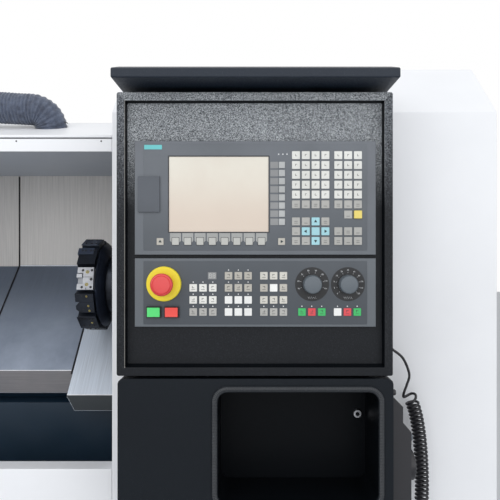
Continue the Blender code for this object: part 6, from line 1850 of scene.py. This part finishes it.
        # Painted shade: the notch floor is a thin plate in the darker nickelled copy.
        floor = self.bar(0.0051, 0.0178, top - 0.0072, top - 0.0064, -0.0123, 0.0123)
        round_all(floor, 0.0002, 1)
        give(turn_about(floor, self.centre, angle, "X"), NOTCH_SHADE_SILVER, Body.TURRET)
        plugs = self.nozzle(((0.0271, 0.0147), (0.0267, -0.0134)), height, 0.0038)
        give(turn_about(join("boring_plugs", (plugs,)), self.centre, angle, "X"), BRASS, Body.TURRET)


@dataclass
class Covers:
    """Sheet covers, way covers, ceiling liner and their screws."""

    def build(self) -> None:
        """Dresses all the sheet work."""
        for node in ("left_cover", "right_cover", "roof_cover", "header_panel", "front_panel", "rear_cover"):
            cover(node, WHITE)
        cover("mist_collector", WHITE, width=0.003)
        cover("cabinet_door", WHITE, Body.CABINET, 0.002)
        cover("machine_base", PLINTH, width=0.002)
        cover("chip_tray", PLINTH, Body.TRAY)
        cover("slant_bed", CASTING, width=0.003)
        cover("headstock", CASTING, width=0.003, steps=3)
        cover("carriage", BLACKENED, Body.CARRIAGE, 0.001)
        cover("cross_slide", BLACKENED, Body.CROSS_SLIDE, 0.001)
        for node, finish, body in (
            ("back_wall", WALL_SHEET, Body.FRAME),
            ("left_way_cover", SLOPE_SHEET, Body.FRAME),
            ("right_way_cover", SLOPE_SHEET, Body.FRAME),
            ("left_telescopic_cover", SLOPE_SHEET, Body.LEFT_SLIDER),
            ("right_telescopic_cover", SLOPE_SHEET, Body.RIGHT_SLIDER),
            ("carriage_cover", SHIELD_SHEET, Body.CARRIAGE),
        ):
            piece = cover(node, finish, body, 0.0012 if finish is WALL_SHEET else 0.0026)
            if finish is SLOPE_SHEET:
                # Painted reflection: upright faces of the same stainless sheet get a pale colour above and a browner
                # one at the apron.
                also(piece, WALL_SHEET, lambda centre, normal: abs(normal.y) > 0.97 and centre.z > 1.2)
                also(piece, APRON_SHEET, lambda centre, normal: abs(normal.y) > 0.97 and centre.z < 1.2)
            if finish is SHIELD_SHEET:
                # Painted shade: the shield's front faces get the dark colour.
                also(piece, SKIRT_SHADE, lambda centre, normal: normal.y < -0.97)
            if finish is not WALL_SHEET:
                # Painted highlight: rounded fold faces get the bright colour.
                also(piece, FOLD_HIGHLIGHT, lambda c, n: 0.75 < -n.y < 0.995 and n.z > 0.08 and abs(n.x) < 0.1)
                low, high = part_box(node)
                # Painted shadow: the rounded end edges get the dark colour.
                also(piece, EDGE_SHADE, lambda centre, normal: min(centre.x - low.x, high.x - centre.x) < 0.0027)
        self.add_lips()
        self.add_liner()
        self.add_screws()

    @staticmethod
    def add_lips() -> None:
        """Adds black rubber wiper lips at two sheets' left ends, which also stand in for the shadow gap there, and a
        bright tube along the wall's foot as a painted highlight on its fold.
        """
        low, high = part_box("left_telescopic_cover")
        foot = Vector((low.x + 0.0022, high.y - 0.003, 1.2520))
        route = (Vector((foot.x, low.y - 0.0007, 1.0043)), foot, Vector((foot.x, foot.y, high.z - 0.004)))
        # Black wiper lip, which also stands in for the shadow gap at the sheet's left end.
        give(tube("sheet_wiper", route, 0.0022), RUBBER, Body.LEFT_SLIDER)
        route = (Vector((foot.x + 0.003, foot.y, foot.z)), Vector((high.x - 0.004, foot.y, foot.z)))
        # Painted highlight: a bright tube along the fold at the wall's foot.
        give(tube("foot_fold", route, 0.0019), FOLD_HIGHLIGHT, Body.LEFT_SLIDER)
        low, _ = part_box("carriage_cover")
        route = (Vector((low.x - 0.0014, -0.4053, 1.0020)), Vector((low.x - 0.0014, -0.1360, 1.2713)))
        # Black wiper lip, which also stands in for the shadow gap under the shield's left edge.
        give(tube("shield_wiper", route, 0.0024), RUBBER, Body.CARRIAGE)

    @staticmethod
    def add_liner() -> None:
        """Adds the grey liner under the roof, over the work area."""
        low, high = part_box("back_wall")
        liner = block("ceiling_liner", (low.x + 0.002, -0.576, 1.5110), (0.3785, low.y - 0.004, 1.5126))
        inset(liner, lambda centre, normal: normal.z < -0.9, 0.012, -0.0005)
        give(liner, LINER, Body.FRAME)

    @staticmethod
    def add_screws() -> None:
        """Adds pan-head screws along the door header."""
        front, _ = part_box("header_panel")
        profile = [(0, 0.0010), (0.0009, 0.0009), (0.0015, 0.0005), (0.0017, 0), (0, 0)]
        made = []
        for x in (-1.08, -0.83, -0.58, -0.325, -0.07, 0.1886, 0.3584):
            made.append(turned("screw", profile, (x, front.y, 1.5158), "Y", 16))
        give(join("header_screws", made), BLACK, Body.FRAME)


@dataclass
class Door:
    """Sliding door with its window, seal and handle."""

    def build(self) -> None:
        """Builds the door's pieces."""
        cover("door_panel", WHITE, Body.DOOR, 0.0015)
        dress("door_window", PANE)
        low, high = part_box("door_window")
        self.add_seal(low, high)
        dress("door_handle", BLACK)

    @staticmethod
    def add_seal(low: Vector, high: Vector) -> None:
        """Adds the rubber seal round the window."""
        route = rounded_loop((low.x, high.x, low.z, high.z), 0.030, -0.6125, 6)
        give(to_mesh(tube("window_seal", route, 0.0045, closed=True, resolution=3)), RUBBER, Body.DOOR)


@dataclass
class Drives:
    """Rails, screws, motors, spindle and chuck."""

    def build(self) -> None:
        """Dresses the moving metal."""
        for node in ("lower_rail", "upper_rail", "z_screw", "x_screw", "spindle"):
            dress(node, GROUND)
        cover("chuck_body", GROUND, Body.SPINDLE)
        for number in (1, 2, 3):
            dress(f"chuck_jaw_{number}", GROUND)
        for node in ("z_motor", "spindle_motor", "x_motor"):
            dress(node, MOTOR)


def main() -> None:
    """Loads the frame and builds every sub-assembly."""
    logging.basicConfig(level=logging.INFO, format="%(message)s")
    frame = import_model()
    Camera().build()
    Studio().build()
    CurlyLead().build()
    FumeDuct().build()
    Covers().build()
    Door().build()
    Drives().build()
    Turret().build(frame)
    Console().build()
    UpperPlate().build()
    LowerPlate().build()
    Handset().build()


if __name__ == "__main__":
    main()
